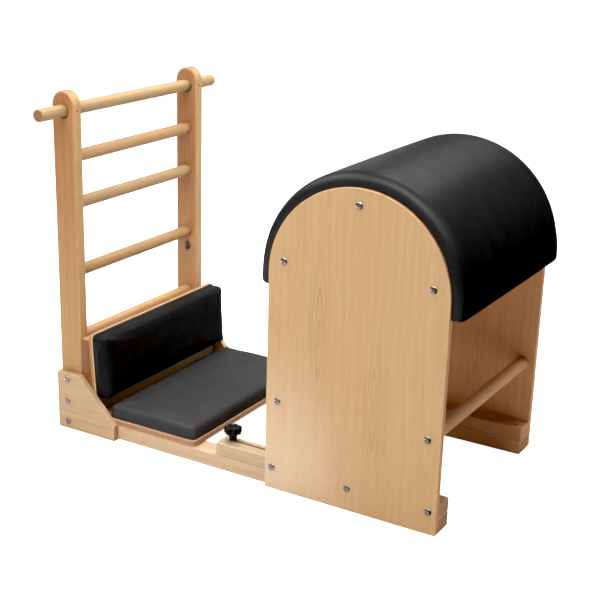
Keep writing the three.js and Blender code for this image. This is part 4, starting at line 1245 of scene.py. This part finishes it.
# the floor that lights the piece from below
floor = stage_plane("studio_floor", -0.0012)
g = Graph("studio_floor_paint")
cloud = g.noise(g.coords(), 1.5, 3.0)
floor.data.materials.append(g.finish(
    g.mix(g.remap(cloud, 0.3, 0.7), lin(243, 243, 243), lin(247, 247, 247)),
    g.remap(cloud, 0.3, 0.7, 0.86, 0.92), None, Specular_IOR_Level=0.1))
floor.visible_glossy = False
floor.visible_camera = False

# the pale sheet that the camera sees
sheet = stage_plane("studio_sheet", -0.0006)
g = Graph("studio_sheet_paper")
cloud = g.noise(g.coords(), 1.5, 3.0)
sheet.data.materials.append(g.finish(
    g.mix(g.remap(cloud, 0.3, 0.7), lin(246, 246, 246), lin(249, 249, 249)),
    g.remap(cloud, 0.3, 0.7, 0.86, 0.92), None, Specular_IOR_Level=0.1,
    Emission_Color=(1, 1, 1, 1), Emission_Strength=0.94))
sheet.visible_diffuse = False
sheet.visible_glossy = False
sheet.visible_shadow = False

# the lit floor on the near side and, dimmer, on the far side, as the bolts and
# the outer faces mirror it
me = bpy.data.meshes.new("studio_card")
me.from_pydata([(-5.5, -7.0, 0), (-0.86, -7.0, 0), (0.6, -7.0, 0), (0.6, -0.34, 0), (-0.86, -0.34, 0), (-5.5, -0.34, 0),
                (-5.5, 0.34, 0), (0.3, 0.34, 0), (0.3, 7.0, 0), (-5.5, 7.0, 0)],
               [], [(0, 1, 4, 5), (1, 2, 3, 4), (6, 7, 8, 9)])
me.polygons[1].material_index = 1
me.polygons[2].material_index = 2
card = bpy.data.objects.new("studio_card", me)
card.location.z = -0.0009
scene.collection.objects.link(card)
g = Graph("studio_card_paper")
cloud = g.noise(g.coords(), 1.5, 3.0)
me.materials.append(g.finish(
    g.mix(g.remap(cloud, 0.3, 0.7), lin(243, 243, 243), lin(247, 247, 247)), 0.9, None, Specular_IOR_Level=0.1,
    Emission_Color=(1, 1, 1, 1), Emission_Strength=0.18))
for tone in (154, 76):
    g = Graph(f"studio_card_grey_{tone}")
    cloud = g.noise(g.coords(), 1.5, 3.0)
    me.materials.append(g.finish(
        g.mix(g.remap(cloud, 0.3, 0.7), lin(tone - 4, tone - 6, tone - 8), lin(tone + 4, tone + 2, tone)), 0.9, None,
        Specular_IOR_Level=0.1))
card.visible_diffuse = False
card.visible_camera = False
card.visible_shadow = False

world = bpy.data.worlds.new("studio")
scene.world = world
world.use_nodes = True
world.node_tree.nodes["Background"].inputs[0].default_value = (1.0, 1.0, 1.0, 1)
world.node_tree.nodes["Background"].inputs[1].default_value = 1.1
# a white backdrop that lights nothing
world.cycles_visibility.diffuse = False
world.cycles_visibility.glossy = False
world.cycles_visibility.transmission = False
world.cycles_visibility.scatter = False


def sun(name, toward, strength, angle, glossy=False, color=(1, 1, 1)):
    data = bpy.data.lights.new(name, "SUN")
    data.energy = strength
    data.angle = math.radians(angle)
    data.color = color
    ob = bpy.data.objects.new(name, data)
    ob.rotation_mode = "QUATERNION"
    ob.rotation_quaternion = Vector(toward).normalized().to_track_quat("Z", "Y")
    ob.visible_glossy = glossy
    scene.collection.objects.link(ob)
    return ob


def softbox(name, at, aim, size, power, diffuse=True, glossy=True, color=(1, 1, 1)):
    data = bpy.data.lights.new(name, "AREA")
    data.shape = "RECTANGLE"
    data.size, data.size_y = size
    data.energy = power
    data.color = color
    ob = bpy.data.objects.new(name, data)
    ob.location = at
    ob.rotation_mode = "QUATERNION"
    ob.rotation_quaternion = (Vector(at) - Vector(aim)).to_track_quat("Z", "Y")
    ob.visible_glossy = glossy
    ob.visible_diffuse = diffuse
    ob.visible_camera = False
    scene.collection.objects.link(ob)
    return ob


# large soft lights on a dome about the piece, by compass angle and height in
# degrees: 0 is the near side, 90 the barrel's end, 180 the far side. Some light
# the surfaces, the others only show as sheen.
MIDDLE = (0.0, 0.0, 0.5)


def dome(turn, height, r=3.4):
    a, e = math.radians(turn), math.radians(height)
    return (MIDDLE[0] + r * math.cos(e) * math.sin(a),
            MIDDLE[1] - r * math.cos(e) * math.cos(a),
            MIDDLE[2] + r * math.sin(e))


FILL = (("over", 0, 90, 2.6, 2.2, 122.2), ("left_back", 225, 48, 3.4, 1.8, 84.5),
        ("right_back_low", 135, 14, 3.4, 1.8, 63.8), ("back_low", 180, 14, 3.4, 1.8, 59.8),
        ("front", 0, 48, 3.4, 1.8, 34.8), ("front_low", 0, 14, 3.4, 1.8, 28.0))
SHEEN = (("over", 0, 90, 2.6, 2.2, 90.0), ("front", 0, 48, 3.4, 1.6, 88.0), ("left", 270, 48, 3.4, 1.6, 29.0),
         ("left_back", 225, 48, 3.4, 1.6, 32.6), ("left_front", 315, 48, 3.4, 1.6, 12.5),
         ("back", 180, 48, 3.4, 1.6, 16.5), ("right_front", 45, 48, 3.4, 1.6, 28.0),
         ("right", 90, 48, 3.4, 1.6, 9.7), ("left_back_low", 217, 17, 3.4, 1.6, 4.4),
         ("front_low", 0, 14, 3.4, 1.6, 10.0),
         ("front_high", 0, 69, 3.4, 1.6, 30.0), ("right_front_high", 45, 69, 3.4, 1.6, 22.0), ("right_back", 135, 48, 3.4, 1.6, 3.1))
for name, turn, height, r, size, power in FILL:
    softbox(f"fill_{name}", dome(turn, height, r), MIDDLE, (size, size), power, glossy=False)
for name, turn, height, r, size, power in SHEEN:
    softbox(f"sheen_{name}", dome(turn, height, r), MIDDLE, (size, size), power, diffuse=False)
softbox("fill_skirt", (0, -2.6, 0.35), MIDDLE, (2.6, 0.6), 3.5, glossy=False)
sun("key", (-0.30, -0.62, 0.78), 0.845, 55)

# ------------------------------------------------------------------ camera
AX, AY, AZ = 0.3329039782713397, 0.01508634921929566, 0.5621390137408515
FOCAL, CX, CY = 1254.3842837291056, 250.0, 317.1695414718431
fw = Vector((-math.sin(AZ) * math.cos(AX), math.cos(AZ) * math.cos(AX), -math.sin(AX)))
right = Vector((math.cos(AZ), math.sin(AZ), 0))
up = right.cross(fw)
r_ = right * math.cos(AY) + up * math.sin(AY)
u_ = -right * math.sin(AY) + up * math.cos(AY)
cam_data = bpy.data.cameras.new("camera")
cam_data.sensor_width = 36
cam_data.lens = FOCAL * 36 / 600
cam_data.shift_x = (300 - CX) / 600
cam_data.shift_y = (CY - 300) / 600
cam_data.clip_start, cam_data.clip_end = 0.1, 200
cam = bpy.data.objects.new("camera", cam_data)
scene.collection.objects.link(cam)
cam.matrix_world = Matrix((
    (r_.x, u_.x, -fw.x, 1.3365736164872262 + 0.3415),
    (r_.y, u_.y, -fw.y, -2.932271078574052),
    (r_.z, u_.z, -fw.z, 1.536592475502926),
    (0, 0, 0, 1),
))
scene.camera = cam

scene.view_settings.view_transform = "Standard"
scene.view_settings.look = "None"
scene.view_settings.exposure = 0.0
scene.view_settings.gamma = 1.0
# deep blacks, as in the photograph
scene.view_settings.use_curve_mapping = True
scene.view_settings.curve_mapping.black_level = (BLACK, BLACK, BLACK)
scene.view_settings.curve_mapping.update()
